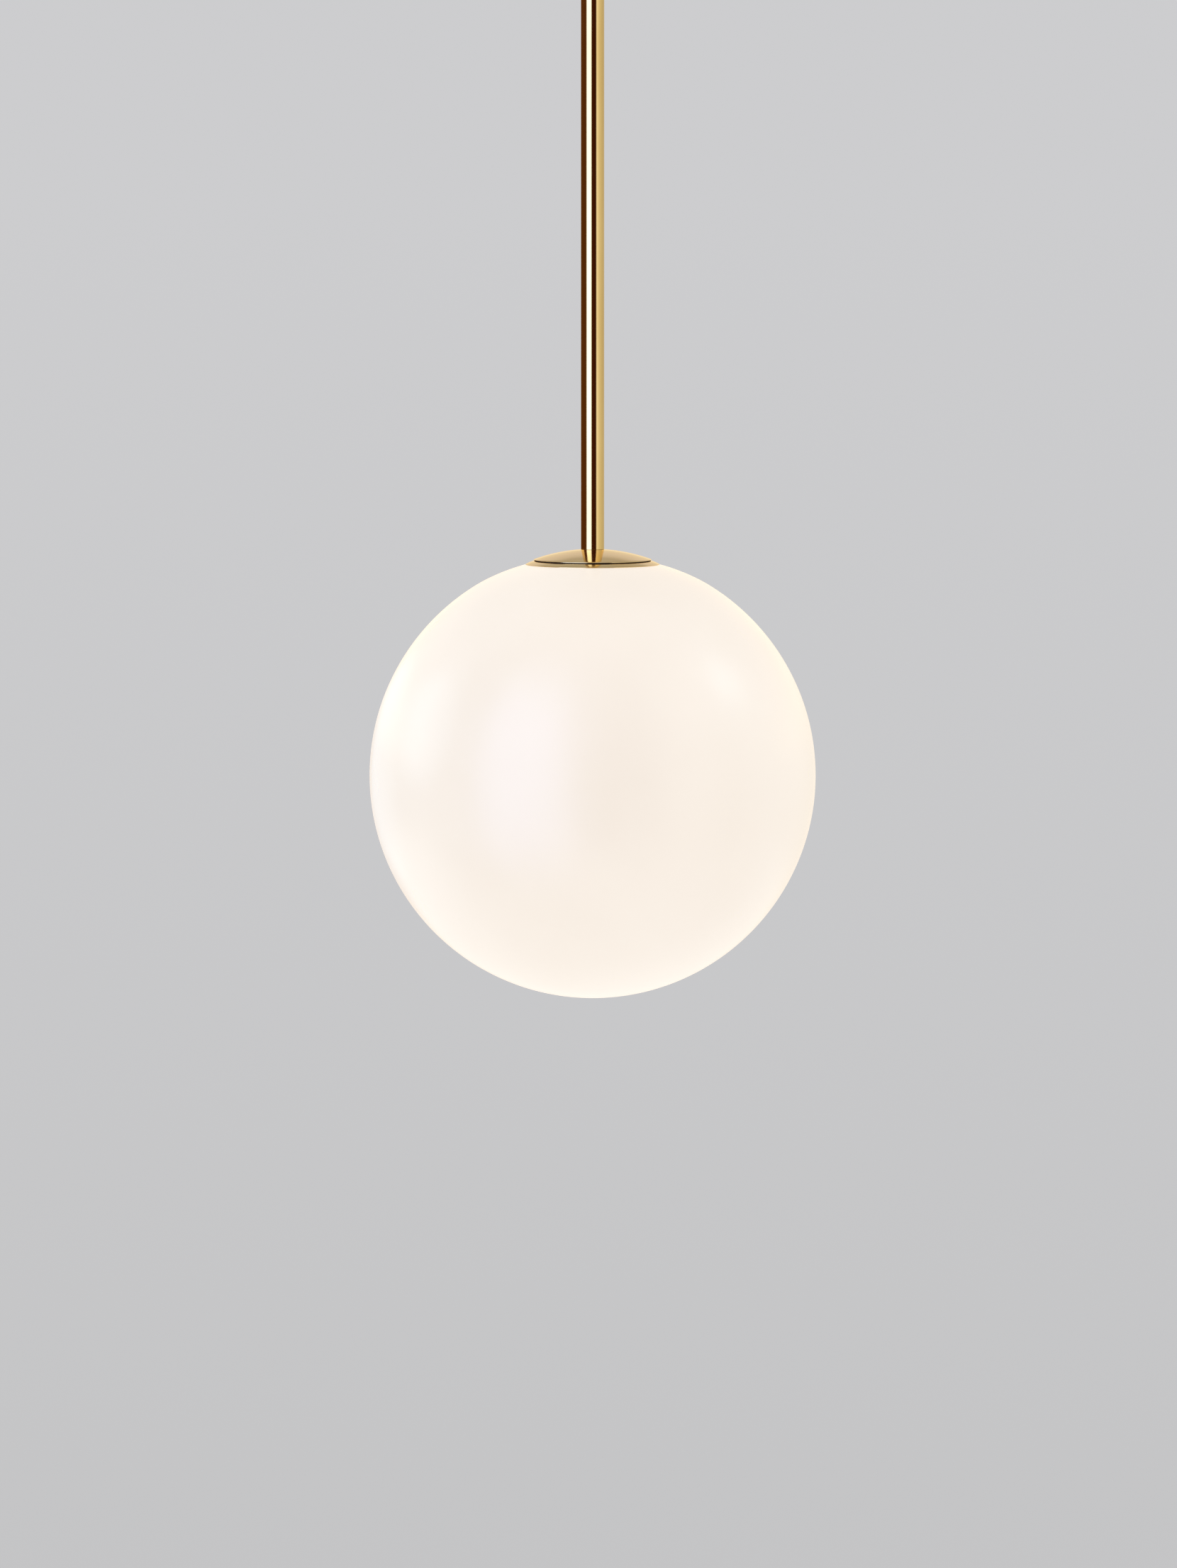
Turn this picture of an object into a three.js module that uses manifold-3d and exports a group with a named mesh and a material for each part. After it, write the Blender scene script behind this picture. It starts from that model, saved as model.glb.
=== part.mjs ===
// A pendant ceiling light: an opal glass globe under a shallow domed brass cap, on a rigid brass rod
// that hangs from a ball swivel in a round ceiling canopy. Millimetres, +Z up. The origin is the
// middle of the ceiling strap's top face, which lies against the ceiling.
import * as THREE from "three";
import { mergeVertices } from "three/addons/utils/BufferGeometryUtils.js";
import Module from "manifold-3d";

const wasm = await Module();
wasm.setup();

// ---------------------------------------------------------------- driving dimensions
const ROD_LENGTH = 500;
const ROD_RADIUS = 6.5;
const GLOBE_RADIUS = 125;
const GLASS_WALL = 3;
const CANOPY_RADIUS = 60;
const CANOPY_DEPTH = 28;
const CANOPY_CORNER = 5;
const SHEET_WALL = 1.2; // canopy and dome
const M10 = 5; // bore of every M10 thread, as a radius
const FLEX_RADIUS = 3;

// Clearances
const TOUCH = 0.05; // between faces that rest on each other
const FIT = 0.3; // round threads, pins and everything that turns
const SHADOW_GAP = 0.5; // between the dome's rim and the globe's ring

// Ceiling strap
const STRAP_THICK = 2;
const STRAP_WIDTH = 24;
const STRAP_TAB = 16; // downturned end that takes a canopy screw
const STRAP_SIDE_GAP = 2; // between a tab and the canopy's wall
const SLOT_LENGTH = 18;
const SLOT_WIDTH = 5.5;
const SLOT_PITCH = 60;
const EAR_WIDTH = 34;
const RIM_GAP = 0.5; // canopy's rim to the ceiling
const CANOPY_SCREW_RADIUS = 2;
const CANOPY_SCREW_DROP = 10; // screw's axis below the ceiling
const CANOPY_HEAD_RADIUS = 4;
const CANOPY_HEAD_THICK = 3;

// Terminal block and wires
const BLOCK_LENGTH = 30;
const BLOCK_WIDTH = 18;
const BLOCK_HEIGHT = 13;
const BLOCK_CLEAR = 8; // from the strap's edge
const POLE_PITCH = 9;
const WIRE_HOLE = 2;
const WIRE_DROP = 8; // wire holes below the block's top
const CORE_RADIUS = 0.85;
const SMALL_SCREW_RADIUS = 1.7;
const SMALL_HEAD_RADIUS = 3.6;
const SMALL_HEAD_THICK = 2.2;
const EARTH_CLEAR = 8; // earth screw to the end of a slot

// Swivel
const BALL_RADIUS = 10;
const BALL_DROP = 5; // ball's centre below the canopy
const NECK_LENGTH = 14; // ball's centre to the rod's top end
const STUD_LENGTH = 10; // thread inside the rod
const BALL_PIN_RADIUS = 1.5;
const SEAT_WALL = 2;
const SEAT_RIM = 5; // seat's top above the ball's centre
const LUG_HEIGHT = 3.5;
const LUG_HALF_ANGLE = 8;
const LIP_RADIUS = 8.5; // opening that the neck tilts in
const LIP_THICK = 2;
const HOUSING_WALL = 1.2;
const HOUSING_TOP = 13; // above the ball's centre
const HOUSING_ROOF = 1.5;
const FLANGE_REACH = 5; // beyond the housing's nose
const FLANGE_THICK = 3;
const COLLAR_WALL = 2.7;
const STOP_PIN_RADIUS = 1;
const STOP_PIN_REACH = 1.8; // into the housing
const BUSH_HOLE = 6;

// Cap and fitter
const DOME_RADIUS = 33;
const DOME_CURVE = 97; // radius of the dome's curvature
const DOME_EDGE = 0.3;
const FITTER_RADIUS = 30.7; // outside of the fitter's thread
const FITTER_PLATE = 2.5;
const FITTER_WALL = 2;
const FITTER_DEPTH = 12;
const NIPPLE_IN_ROD = 15;
const NIPPLE_WALL = 1.1;
const WASHER_RADIUS = 10;
const WASHER_THICK = 1;
const NUT_FLATS = 14;
const NUT_HEIGHT = 5;

// Globe's ring
const RING_RADIUS = 37.5;
const RING_FALL = 1.65; // of its top, from the dome's rim to the ring's edge
const RING_EDGE = 0.45;
const NECK_WALL = 3.2;
const NECK_DEPTH = 10;
const BOND_GAP = 1.2; // between the ring's neck and the glass
const BOND_DEPTH = 3;
const SEAL_WIDTH = 1.6;
const FLATTENING = 1.2; // of the glass round its mouth
const FLAT_REACH = 28; // from the ring's edge to the true sphere

// Lampholder, E27
const HOLDER_RADIUS = 19.5;
const HOLDER_WALL = 1.6;
const BOSS_RADIUS = 9;
const BOSS_HEIGHT = 6;
const NIPPLE_IN_BOSS = 7;
const SHOULDER_HEIGHT = 6;
const HOLDER_ROOF = 3.5; // the cap's roof, which takes the nipple
const HOLDER_CAP_SIDE = 6;
const SPIGOT_LENGTH = 6;
const INSERT_DISC = 6;
const INSERT_WALL = 2;
const SHELL_LENGTH = 19;
const SHELL_WALL = 0.6;
const SKIRT_LIP = 1.6;
const TERMINAL_SIZE = 6;
const TERMINAL_OUT = 9; // from the axis
const LEAD_RADIUS = 0.8;
const PLUNGER_RADIUS = 2.7;
const PLUNGER_REACH = 3.6; // below the insert's disc

// Lamp, E27
const BASE_RADIUS = 13.1;
const BASE_LENGTH = 22;
const LAMP_RADIUS = 30;
const LAMP_LENGTH = 108;
const LAMP_SKIN = 1.2;
const CONTACT_RADIUS = 4.6;
const CONTACT_THICK = 1.2;
const INSULATOR_HEIGHT = 3;
const BOARD_THICK = 1.6;

const SIDES = 40;
const SMALL_SIDES = 24;
const TINY_SIDES = 12;

// ---------------------------------------------------------------- materials
function finish(color, metalness, roughness) {
  return new THREE.MeshStandardMaterial({ color, metalness, roughness });
}
const brass = finish(0xd9b36a, 1, 0.15);
const rawBrass = finish(0xb89a55, 1, 0.4);
const steel = finish(0xb4b6b8, 1, 0.35);
const opal = finish(0xfdf3e8, 0, 0.25);
const nylon = finish(0xe9e6dc, 0, 0.5);
const silicone = finish(0x2b2926, 0, 0.7);
const bond = finish(0xdad9d4, 0, 0.6);
const porcelain = finish(0xf2f0ea, 0, 0.2);
const polymer = finish(0xf0f0ee, 0, 0.45);
const black = finish(0x1c1c1e, 0, 0.4);
const sheath = finish(0xe6e4de, 0, 0.6);
const brownCore = finish(0x5a3420, 0, 0.5);
const blueCore = finish(0x2f62a8, 0, 0.5);
const greenCore = finish(0x8fa63a, 0, 0.5);

// ---------------------------------------------------------------- shapes
// A body turned about Z from [radius, z] points. A profile that isn't on the axis at both ends is
// closed on itself.
function turned(points, sides = SMALL_SIDES) {
  const outline = points.map(([r, z]) => new THREE.Vector2(r, z));
  const onAxis = outline[0].x === 0 && outline[outline.length - 1].x === 0;
  if (THREE.ShapeUtils.area(outline) < 0) outline.reverse();
  if (!onAxis) outline.push(outline[0].clone());
  return new THREE.LatheGeometry(outline, sides).rotateX(Math.PI / 2);
}

// Points on an arc about [r, z], from one angle to the other in degrees.
function arc(r, z, radius, from, to, steps) {
  return Array.from({ length: steps + 1 }, (_, i) => {
    const a = THREE.MathUtils.degToRad(from + ((to - from) * i) / steps);
    return [r + radius * Math.cos(a), z + radius * Math.sin(a)];
  });
}

function ringOf(inner, outer, low, high, sides) {
  return turned([[inner, low], [outer, low], [outer, high], [inner, high]], sides);
}

function pinOf(radius, low, high, sides = TINY_SIDES) {
  return turned([[0, low], [radius, low], [radius, high], [0, high]], sides);
}

// A screw on the Z axis: its head below z = 0, its shank above.
function screwOf(radius, length, headRadius, headThick, sides = TINY_SIDES) {
  const chamfer = 0.4;
  return turned([
    [0, -headThick],
    [headRadius - chamfer, -headThick],
    [headRadius, -headThick + chamfer],
    [headRadius, 0],
    [radius, 0],
    [radius, length - chamfer],
    [radius - chamfer, length],
    [0, length],
  ], sides);
}

function block(x0, x1, y0, y1, z0, z1) {
  return new THREE.BoxGeometry(x1 - x0, y1 - y0, z1 - z0)
    .translate((x0 + x1) / 2, (y0 + y1) / 2, (z0 + z1) / 2);
}

function polygon(radius, sides) {
  return new THREE.Shape(Array.from({ length: sides }, (_, i) => {
    const a = (i * 2 * Math.PI) / sides;
    return new THREE.Vector2(radius * Math.cos(a), radius * Math.sin(a));
  }));
}

function hexNut(flats, hole, low, height) {
  const outline = polygon(flats / Math.sqrt(3), 6);
  outline.holes.push(new THREE.Path().absarc(0, 0, hole, 0, 2 * Math.PI, true));
  return new THREE.ExtrudeGeometry(outline, {
    depth: height,
    bevelEnabled: false,
    curveSegments: SMALL_SIDES,
  }).translate(0, 0, low);
}

// A round wire along a smooth curve through points.
function wire(points, radius, steps, sides = 8) {
  const extrudePath = new THREE.CatmullRomCurve3(points.map((p) => new THREE.Vector3(...p)));
  const options = { steps, extrudePath, bevelEnabled: false };
  return new THREE.ExtrudeGeometry(polygon(radius, sides), options);
}

function solid(geometry) {
  const plain = geometry.clone();
  plain.deleteAttribute("normal");
  plain.deleteAttribute("uv");
  const merged = mergeVertices(plain, 1e-4);
  return new wasm.Manifold(new wasm.Mesh({
    numProp: 3,
    vertProperties: merged.attributes.position.array,
    triVerts: new Uint32Array(merged.index.array),
  }));
}

function geometryOf(made) {
  const mesh = made.getMesh();
  const geometry = new THREE.BufferGeometry();
  geometry.setAttribute("position", new THREE.BufferAttribute(mesh.vertProperties, 3));
  geometry.setIndex(new THREE.BufferAttribute(mesh.triVerts, 1));
  const faceted = geometry.toNonIndexed();
  faceted.computeVertexNormals();
  return faceted;
}

function cut(body, ...tools) {
  return geometryOf(tools.reduce((left, tool) => left.subtract(solid(tool)), solid(body)));
}

function join(...bodies) {
  return geometryOf(bodies.slice(1).reduce((all, more) => all.add(solid(more)), solid(bodies[0])));
}

function piece(parent, name, geometry, material) {
  const mesh = new THREE.Mesh(geometry, material);
  mesh.name = name;
  parent.add(mesh);
  return mesh;
}

const light = new THREE.Group();

function level(z) {
  const group = new THREE.Group();
  group.position.z = z;
  light.add(group);
  return group;
}

// ---------------------------------------------------------------- ceiling strap
// A steel strap with slots for the two ceiling screws, an ear for the terminal block, and a
// downturned tab at each end that takes a canopy screw.
const canopyInner = CANOPY_RADIUS - SHEET_WALL;
const tabFace = canopyInner - STRAP_SIDE_GAP;
const strapHalf = STRAP_WIDTH / 2;
const blockNear = strapHalf + BLOCK_CLEAR;
const blockFar = blockNear + BLOCK_WIDTH;
const blockMiddle = (blockNear + blockFar) / 2;
const fixingX = POLE_PITCH / 2; // the block's fixing screw stands between two poles
const earthX = (SLOT_PITCH - SLOT_LENGTH) / 2 - EARTH_CLEAR;
const screwHole = SMALL_SCREW_RADIUS + FIT;

function strapSlot(middle) {
  const shape = new THREE.Shape();
  const straight = (SLOT_LENGTH - SLOT_WIDTH) / 2;
  shape.absarc(middle + straight, 0, SLOT_WIDTH / 2, -Math.PI / 2, Math.PI / 2, false);
  shape.absarc(middle - straight, 0, SLOT_WIDTH / 2, Math.PI / 2, 1.5 * Math.PI, false);
  return new THREE.ExtrudeGeometry(shape, {
    depth: 3 * STRAP_THICK,
    bevelEnabled: false,
    curveSegments: 8,
  }).translate(0, 0, -2 * STRAP_THICK);
}

const strapBody = join(
  block(-tabFace, tabFace, -strapHalf, strapHalf, -STRAP_THICK, 0),
  block(-EAR_WIDTH / 2, EAR_WIDTH / 2, strapHalf - 1, blockFar, -STRAP_THICK, 0),
  block(tabFace - STRAP_THICK, tabFace, -strapHalf, strapHalf, -STRAP_TAB, 0),
  block(-tabFace, STRAP_THICK - tabFace, -strapHalf, strapHalf, -STRAP_TAB, 0),
);
const sideScrewHole = pinOf(CANOPY_SCREW_RADIUS + FIT, -2 * CANOPY_RADIUS, 2 * CANOPY_RADIUS)
  .rotateY(Math.PI / 2)
  .translate(0, 0, -CANOPY_SCREW_DROP);
const throughStrap = pinOf(screwHole, -2 * STRAP_THICK, STRAP_THICK);
piece(light, "ceiling_strap", cut(
  strapBody,
  strapSlot(SLOT_PITCH / 2),
  strapSlot(-SLOT_PITCH / 2),
  sideScrewHole,
  throughStrap.clone().translate(fixingX, blockMiddle, 0),
  throughStrap.clone().translate(earthX, 0, 0),
), steel);

// ---------------------------------------------------------------- swivel's radii and levels
const seatInner = BALL_RADIUS + FIT;
const seatOuter = seatInner + SEAT_WALL;
const housingInner = seatOuter + FIT;
const noseRadius = housingInner + HOUSING_WALL;
const collarInner = noseRadius + FIT;
const collarRadius = collarInner + COLLAR_WALL;
const flangeRadius = noseRadius + FLANGE_REACH;
const seatDepth = Math.sqrt(seatInner ** 2 - LIP_RADIUS ** 2); // seat's foot below the ball's centre
const lipTop = -seatDepth - TOUCH;
const neckRadius = M10 - FIT;
const canopyAbove = BALL_DROP; // canopy's outer face above the ball's centre
const flangeLow = canopyAbove + SHEET_WALL + TOUCH;
const ballZ = -CANOPY_DEPTH - BALL_DROP;
const rodTop = ballZ - NECK_LENGTH;
const rodBottom = rodTop - ROD_LENGTH;

// ---------------------------------------------------------------- canopy
// A spun cup with its open side against the ceiling and a hole for the swivel's nose.
const canopyHole = noseRadius + FIT;
const cornerZ = -CANOPY_DEPTH + CANOPY_CORNER;
const cornerR = CANOPY_RADIUS - CANOPY_CORNER;
piece(light, "canopy_cup", cut(
  turned([
    [CANOPY_RADIUS, -RIM_GAP],
    ...arc(cornerR, cornerZ, CANOPY_CORNER, 0, -90, 4),
    [canopyHole, -CANOPY_DEPTH],
    [canopyHole, -CANOPY_DEPTH + SHEET_WALL],
    ...arc(cornerR, cornerZ, CANOPY_CORNER - SHEET_WALL, -90, 0, 3),
    [canopyInner, -RIM_GAP],
  ], SIDES),
  sideScrewHole,
), brass);

[1, -1].forEach((side, i) => {
  const reach = CANOPY_RADIUS - tabFace + STRAP_THICK + 1.5;
  const geometry = screwOf(CANOPY_SCREW_RADIUS, reach, CANOPY_HEAD_RADIUS, CANOPY_HEAD_THICK)
    .rotateY((-side * Math.PI) / 2);
  const screw = piece(light, `canopy_screw_${i + 1}`, geometry, brass);
  screw.position.set(side * (CANOPY_RADIUS + TOUCH), 0, -CANOPY_SCREW_DROP);
});

// ---------------------------------------------------------------- terminal block
const blockTop = -STRAP_THICK - TOUCH;
const blockLow = blockTop - BLOCK_HEIGHT;
const wireZ = blockTop - WIRE_DROP;
const poles = [-POLE_PITCH, 0, POLE_PITCH];
const screwLines = [blockMiddle - BLOCK_WIDTH / 4, blockMiddle + BLOCK_WIDTH / 4];
const headSink = SMALL_HEAD_THICK + 0.8;
piece(light, "terminal_block", cut(
  block(-BLOCK_LENGTH / 2, BLOCK_LENGTH / 2, blockNear, blockFar, blockLow, blockTop),
  ...poles.map((x) => pinOf(WIRE_HOLE, -BLOCK_WIDTH, BLOCK_WIDTH)
    .rotateX(Math.PI / 2)
    .translate(x, blockMiddle, wireZ)),
  ...poles.flatMap((x) => screwLines.map((y) => pinOf(screwHole, -BLOCK_HEIGHT, 0)
    .translate(x, y, wireZ))),
  pinOf(screwHole, -2 * BLOCK_HEIGHT, BLOCK_HEIGHT).translate(fixingX, blockMiddle, blockTop),
), polymer);

let screwNumber = 0;
for (const x of poles) {
  for (const y of screwLines) {
    screwNumber += 1;
    const screw = pinOf(SMALL_SCREW_RADIUS, blockLow + 0.5, wireZ - CORE_RADIUS - FIT);
    piece(light, `terminal_screw_${screwNumber}`, screw, rawBrass).position.set(x, y, 0);
  }
}

const blockScrewLength = BLOCK_HEIGHT + STRAP_THICK - 0.3;
piece(light, "block_screw", screwOf(SMALL_SCREW_RADIUS, blockScrewLength,
  SMALL_HEAD_RADIUS - 1, SMALL_HEAD_THICK), steel)
  .position.set(fixingX, blockMiddle, blockLow - TOUCH);

// ---------------------------------------------------------------- earth screw, tag and lead
const tagThick = 0.8;
const tagLow = -STRAP_THICK - TOUCH - tagThick;
piece(light, "earth_tag", ringOf(screwHole, SMALL_HEAD_RADIUS + 0.6, tagLow,
  -STRAP_THICK - TOUCH, TINY_SIDES), rawBrass).position.x = earthX;
piece(light, "earth_screw", screwOf(SMALL_SCREW_RADIUS, STRAP_THICK + tagThick - 0.3,
  SMALL_HEAD_RADIUS, SMALL_HEAD_THICK), steel)
  .position.set(earthX, 0, tagLow - TOUCH);
piece(light, "earth_lead", wire([
  [POLE_PITCH, blockFar - 4, wireZ],
  [POLE_PITCH, blockFar + 2, wireZ],
  [BLOCK_LENGTH / 2 + 1, blockFar + 4, wireZ + 1],
  [BLOCK_LENGTH / 2 + 4, blockMiddle, -7.5],
  [BLOCK_LENGTH / 2 + 3, blockNear - 6, -5.5],
  [earthX + 1, SMALL_HEAD_RADIUS + 2.2, tagLow - 0.4],
], CORE_RADIUS, 24), greenCore);

// ---------------------------------------------------------------- swivel, fixed half
const swivel = level(ballZ);

// The housing stands in the canopy's hole: flange inside, threaded nose through it.
const stopZ = SEAT_RIM + LUG_HEIGHT / 2 + 0.5;
const stopHole = pinOf(STOP_PIN_RADIUS + FIT, 0, flangeRadius - 2)
  .rotateX(Math.PI / 2)
  .translate(0, 0, stopZ);
piece(swivel, "swivel_housing", cut(
  turned([
    [housingInner, lipTop + 1],
    [noseRadius, lipTop + 1],
    [noseRadius, flangeLow],
    [flangeRadius, flangeLow],
    [flangeRadius, flangeLow + FLANGE_THICK],
    [noseRadius, flangeLow + FLANGE_THICK],
    [noseRadius, HOUSING_TOP],
    [BUSH_HOLE, HOUSING_TOP],
    [BUSH_HOLE, HOUSING_TOP - HOUSING_ROOF],
    [housingInner, HOUSING_TOP - HOUSING_ROOF],
  ]),
  stopHole,
), steel);

// The collar screws on the nose from below, clamps the canopy, and carries the seat on its lip.
piece(swivel, "swivel_collar", turned([
  [LIP_RADIUS, lipTop - LIP_THICK],
  [collarRadius - 1, lipTop - LIP_THICK],
  [collarRadius, lipTop - LIP_THICK + 1],
  [collarRadius, canopyAbove - TOUCH],
  [collarInner, canopyAbove - TOUCH],
  [collarInner, lipTop],
  [LIP_RADIUS, lipTop],
]), brass);

const stopInner = housingInner - STOP_PIN_REACH;
piece(swivel, "stop_pin", pinOf(STOP_PIN_RADIUS, stopInner, flangeRadius - 2 - FIT)
  .rotateX(Math.PI / 2)
  .translate(0, 0, stopZ), steel);

const bushInner = FLEX_RADIUS + FIT;
piece(swivel, "flex_bushing", turned([
  [bushInner, HOUSING_TOP - HOUSING_ROOF],
  [BUSH_HOLE - FIT, HOUSING_TOP - HOUSING_ROOF],
  [BUSH_HOLE - FIT, HOUSING_TOP + TOUCH],
  [BUSH_HOLE + 2, HOUSING_TOP + TOUCH],
  [BUSH_HOLE + 2, HOUSING_TOP + 1.2],
  [bushInner, HOUSING_TOP + 1.2],
]), nylon);

// ---------------------------------------------------------------- swivel's seat
// It turns in the housing until its lug meets the stop pin, and holds the ball's cross pin in two
// slots that are open at the top.
function seatRing() {
  const low = -Math.asin(seatDepth / seatInner);
  const high = Math.asin(SEAT_RIM / seatInner);
  const toDegrees = THREE.MathUtils.radToDeg;
  const cup = turned([
    ...arc(0, 0, seatInner, toDegrees(low), toDegrees(high), 5),
    [seatOuter, SEAT_RIM],
    [seatOuter, -seatDepth],
  ]);
  const lugShape = new THREE.Shape();
  const half = THREE.MathUtils.degToRad(LUG_HALF_ANGLE);
  lugShape.absarc(0, 0, seatOuter, Math.PI / 2 - half, Math.PI / 2 + half, false);
  lugShape.absarc(0, 0, seatInner + 0.4, Math.PI / 2 + half, Math.PI / 2 - half, true);
  const lug = new THREE.ExtrudeGeometry(lugShape, {
    depth: LUG_HEIGHT + 1,
    bevelEnabled: false,
    curveSegments: 3,
  }).translate(0, 0, SEAT_RIM - 1);
  const slotHalf = BALL_PIN_RADIUS + FIT;
  const slot = block(-2 * seatOuter, 2 * seatOuter, -slotHalf, slotHalf, -slotHalf, 2 * SEAT_RIM);
  return cut(join(cup, lug), slot);
}
piece(swivel, "swivel_seat", seatRing(), nylon);

// ---------------------------------------------------------------- ball and its cross pin
const ballBore = M10 - NIPPLE_WALL - FIT;
const neckAngle = THREE.MathUtils.radToDeg(Math.acos(neckRadius / BALL_RADIUS));
const boreTop = Math.sqrt(BALL_RADIUS ** 2 - ballBore ** 2);
const boreAngle = THREE.MathUtils.radToDeg(Math.atan2(boreTop, ballBore));
const ballPinHole = pinOf(BALL_PIN_RADIUS + FIT, -2 * BALL_RADIUS, 2 * BALL_RADIUS)
  .rotateY(Math.PI / 2);
piece(swivel, "swivel_ball", cut(
  turned([
    [ballBore, -NECK_LENGTH - STUD_LENGTH],
    [neckRadius, -NECK_LENGTH - STUD_LENGTH],
    ...arc(0, 0, BALL_RADIUS, -neckAngle, boreAngle, 8),
  ]),
  ballPinHole,
), steel);

// Two short pins, so that the flex has the bore to itself.
["cross_pin_1", "cross_pin_2"].forEach((name, i) => {
  const side = i === 0 ? 1 : -1;
  piece(swivel, name, pinOf(BALL_PIN_RADIUS, ballBore + FIT, seatOuter - FIT)
    .rotateY((side * Math.PI) / 2), steel);
});

// ---------------------------------------------------------------- rod
piece(light, "rod", ringOf(M10, ROD_RADIUS, rodBottom, rodTop, SIDES), brass);

// ---------------------------------------------------------------- cap: dome, fitter and nipple
// The cap's own level is the rod's lower end, which stands on a small flat of the dome.
const capZ = rodBottom - TOUCH;
const cap = level(capZ);
const domeFlat = DOME_CURVE - Math.sqrt(DOME_CURVE ** 2 - ROD_RADIUS ** 2);

function domeZ(r, curve = DOME_CURVE) {
  return domeFlat - DOME_CURVE + Math.sqrt(curve ** 2 - r ** 2);
}

const domeRim = domeZ(DOME_RADIUS) - DOME_EDGE;
const domeInner = DOME_CURVE - SHEET_WALL;
const domeInnerEdge = Math.sqrt(domeInner ** 2 - (domeRim + DOME_CURVE - domeFlat) ** 2);
const domeHole = M10 + FIT;

function steps(from, to, count) {
  return Array.from({ length: count + 1 }, (_, i) => from + ((to - from) * i) / count);
}

piece(cap, "cap_dome", turned([
  [domeHole, 0],
  ...steps(ROD_RADIUS, DOME_RADIUS, 5).map((r) => [r, domeZ(r)]),
  [DOME_RADIUS, domeRim],
  ...steps(domeInnerEdge, domeHole, 4).map((r) => [r, domeZ(r, domeInner)]),
], SIDES), brass);

// The fitter lies under the dome's rim and carries the thread that the globe's ring screws on.
const fitterTop = Math.min(domeRim, domeZ(FITTER_RADIUS, domeInner)) - TOUCH;
const plateLow = fitterTop - FITTER_PLATE;
const skirtInner = FITTER_RADIUS - FITTER_WALL;
piece(cap, "cap_fitter", turned([
  [domeHole, fitterTop],
  [FITTER_RADIUS, fitterTop],
  [FITTER_RADIUS, fitterTop - FITTER_DEPTH],
  [skirtInner, fitterTop - FITTER_DEPTH],
  [skirtInner, plateLow],
  [domeHole, plateLow],
], SIDES), rawBrass);

const washerLow = plateLow - TOUCH - WASHER_THICK;
const nutLow = washerLow - TOUCH - NUT_HEIGHT;
const bossTop = nutLow - 0.5;
const nippleRadius = M10 - FIT;
piece(cap, "cap_washer", ringOf(domeHole, WASHER_RADIUS, washerLow, washerLow + WASHER_THICK),
  steel);
piece(cap, "cap_nut", hexNut(NUT_FLATS, M10, nutLow, NUT_HEIGHT), rawBrass);
piece(cap, "cap_nipple", ringOf(M10 - FIT - NIPPLE_WALL, nippleRadius, bossTop - NIPPLE_IN_BOSS,
  NIPPLE_IN_ROD), rawBrass);

// ---------------------------------------------------------------- globe: ring, bond, seal and glass
const ringInner = FITTER_RADIUS + FIT;
const ringTop = domeRim - SHADOW_GAP;
const ringEdgeTop = ringTop - RING_FALL;
const neckOuter = ringInner + NECK_WALL;
const mouthRadius = neckOuter + BOND_GAP;
const lipLow = ringEdgeTop - RING_EDGE;

// How far the glass lies below the true sphere at a radius.
function flattening(r) {
  const share = Math.max(0, RING_RADIUS + FLAT_REACH - r) / FLAT_REACH;
  const soft = 0.15;
  return FLATTENING * (Math.hypot(share, soft) - soft);
}

function glassHeight(r, radius) {
  return Math.sqrt(radius ** 2 - r ** 2) - flattening(r);
}

// The globe's centre is set by the glass meeting the ring's edge.
const globeCentre = lipLow - TOUCH - glassHeight(RING_RADIUS, GLOBE_RADIUS);
const lipInnerLow = globeCentre + glassHeight(mouthRadius, GLOBE_RADIUS) + TOUCH;
piece(cap, "globe_ring", turned([
  [ringInner, ringTop],
  [DOME_RADIUS, ringTop],
  [(DOME_RADIUS + RING_RADIUS) / 2, ringTop - RING_FALL * 0.42],
  [RING_RADIUS, ringEdgeTop],
  [RING_RADIUS, lipLow],
  [mouthRadius, lipInnerLow],
  [neckOuter, lipInnerLow],
  [neckOuter, ringTop - NECK_DEPTH],
  [ringInner, ringTop - NECK_DEPTH],
], SIDES), brass);

piece(cap, "globe_bond", ringOf(neckOuter + TOUCH, mouthRadius - TOUCH,
  lipInnerLow - BOND_DEPTH, lipInnerLow - TOUCH, SIDES), bond);

piece(cap, "seal_ring", ringOf(ringInner, ringInner + SEAL_WIDTH, ringTop + TOUCH,
  domeRim - TOUCH, SIDES), silicone);

// The glass is a blown sphere with a ground mouth.
function glassSkin(radius, count) {
  const mouthAngle = Math.asin(mouthRadius / radius);
  return steps(Math.PI, mouthAngle, count).map((a) => {
    const r = a === Math.PI ? 0 : radius * Math.sin(a);
    const drop = a < Math.PI / 2 ? flattening(r) : 0;
    return [r, globeCentre + radius * Math.cos(a) - drop];
  });
}
piece(cap, "globe_glass", turned([
  ...glassSkin(GLOBE_RADIUS, 17),
  ...glassSkin(GLOBE_RADIUS - GLASS_WALL, 15).reverse(),
], SIDES), opal);

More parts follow.
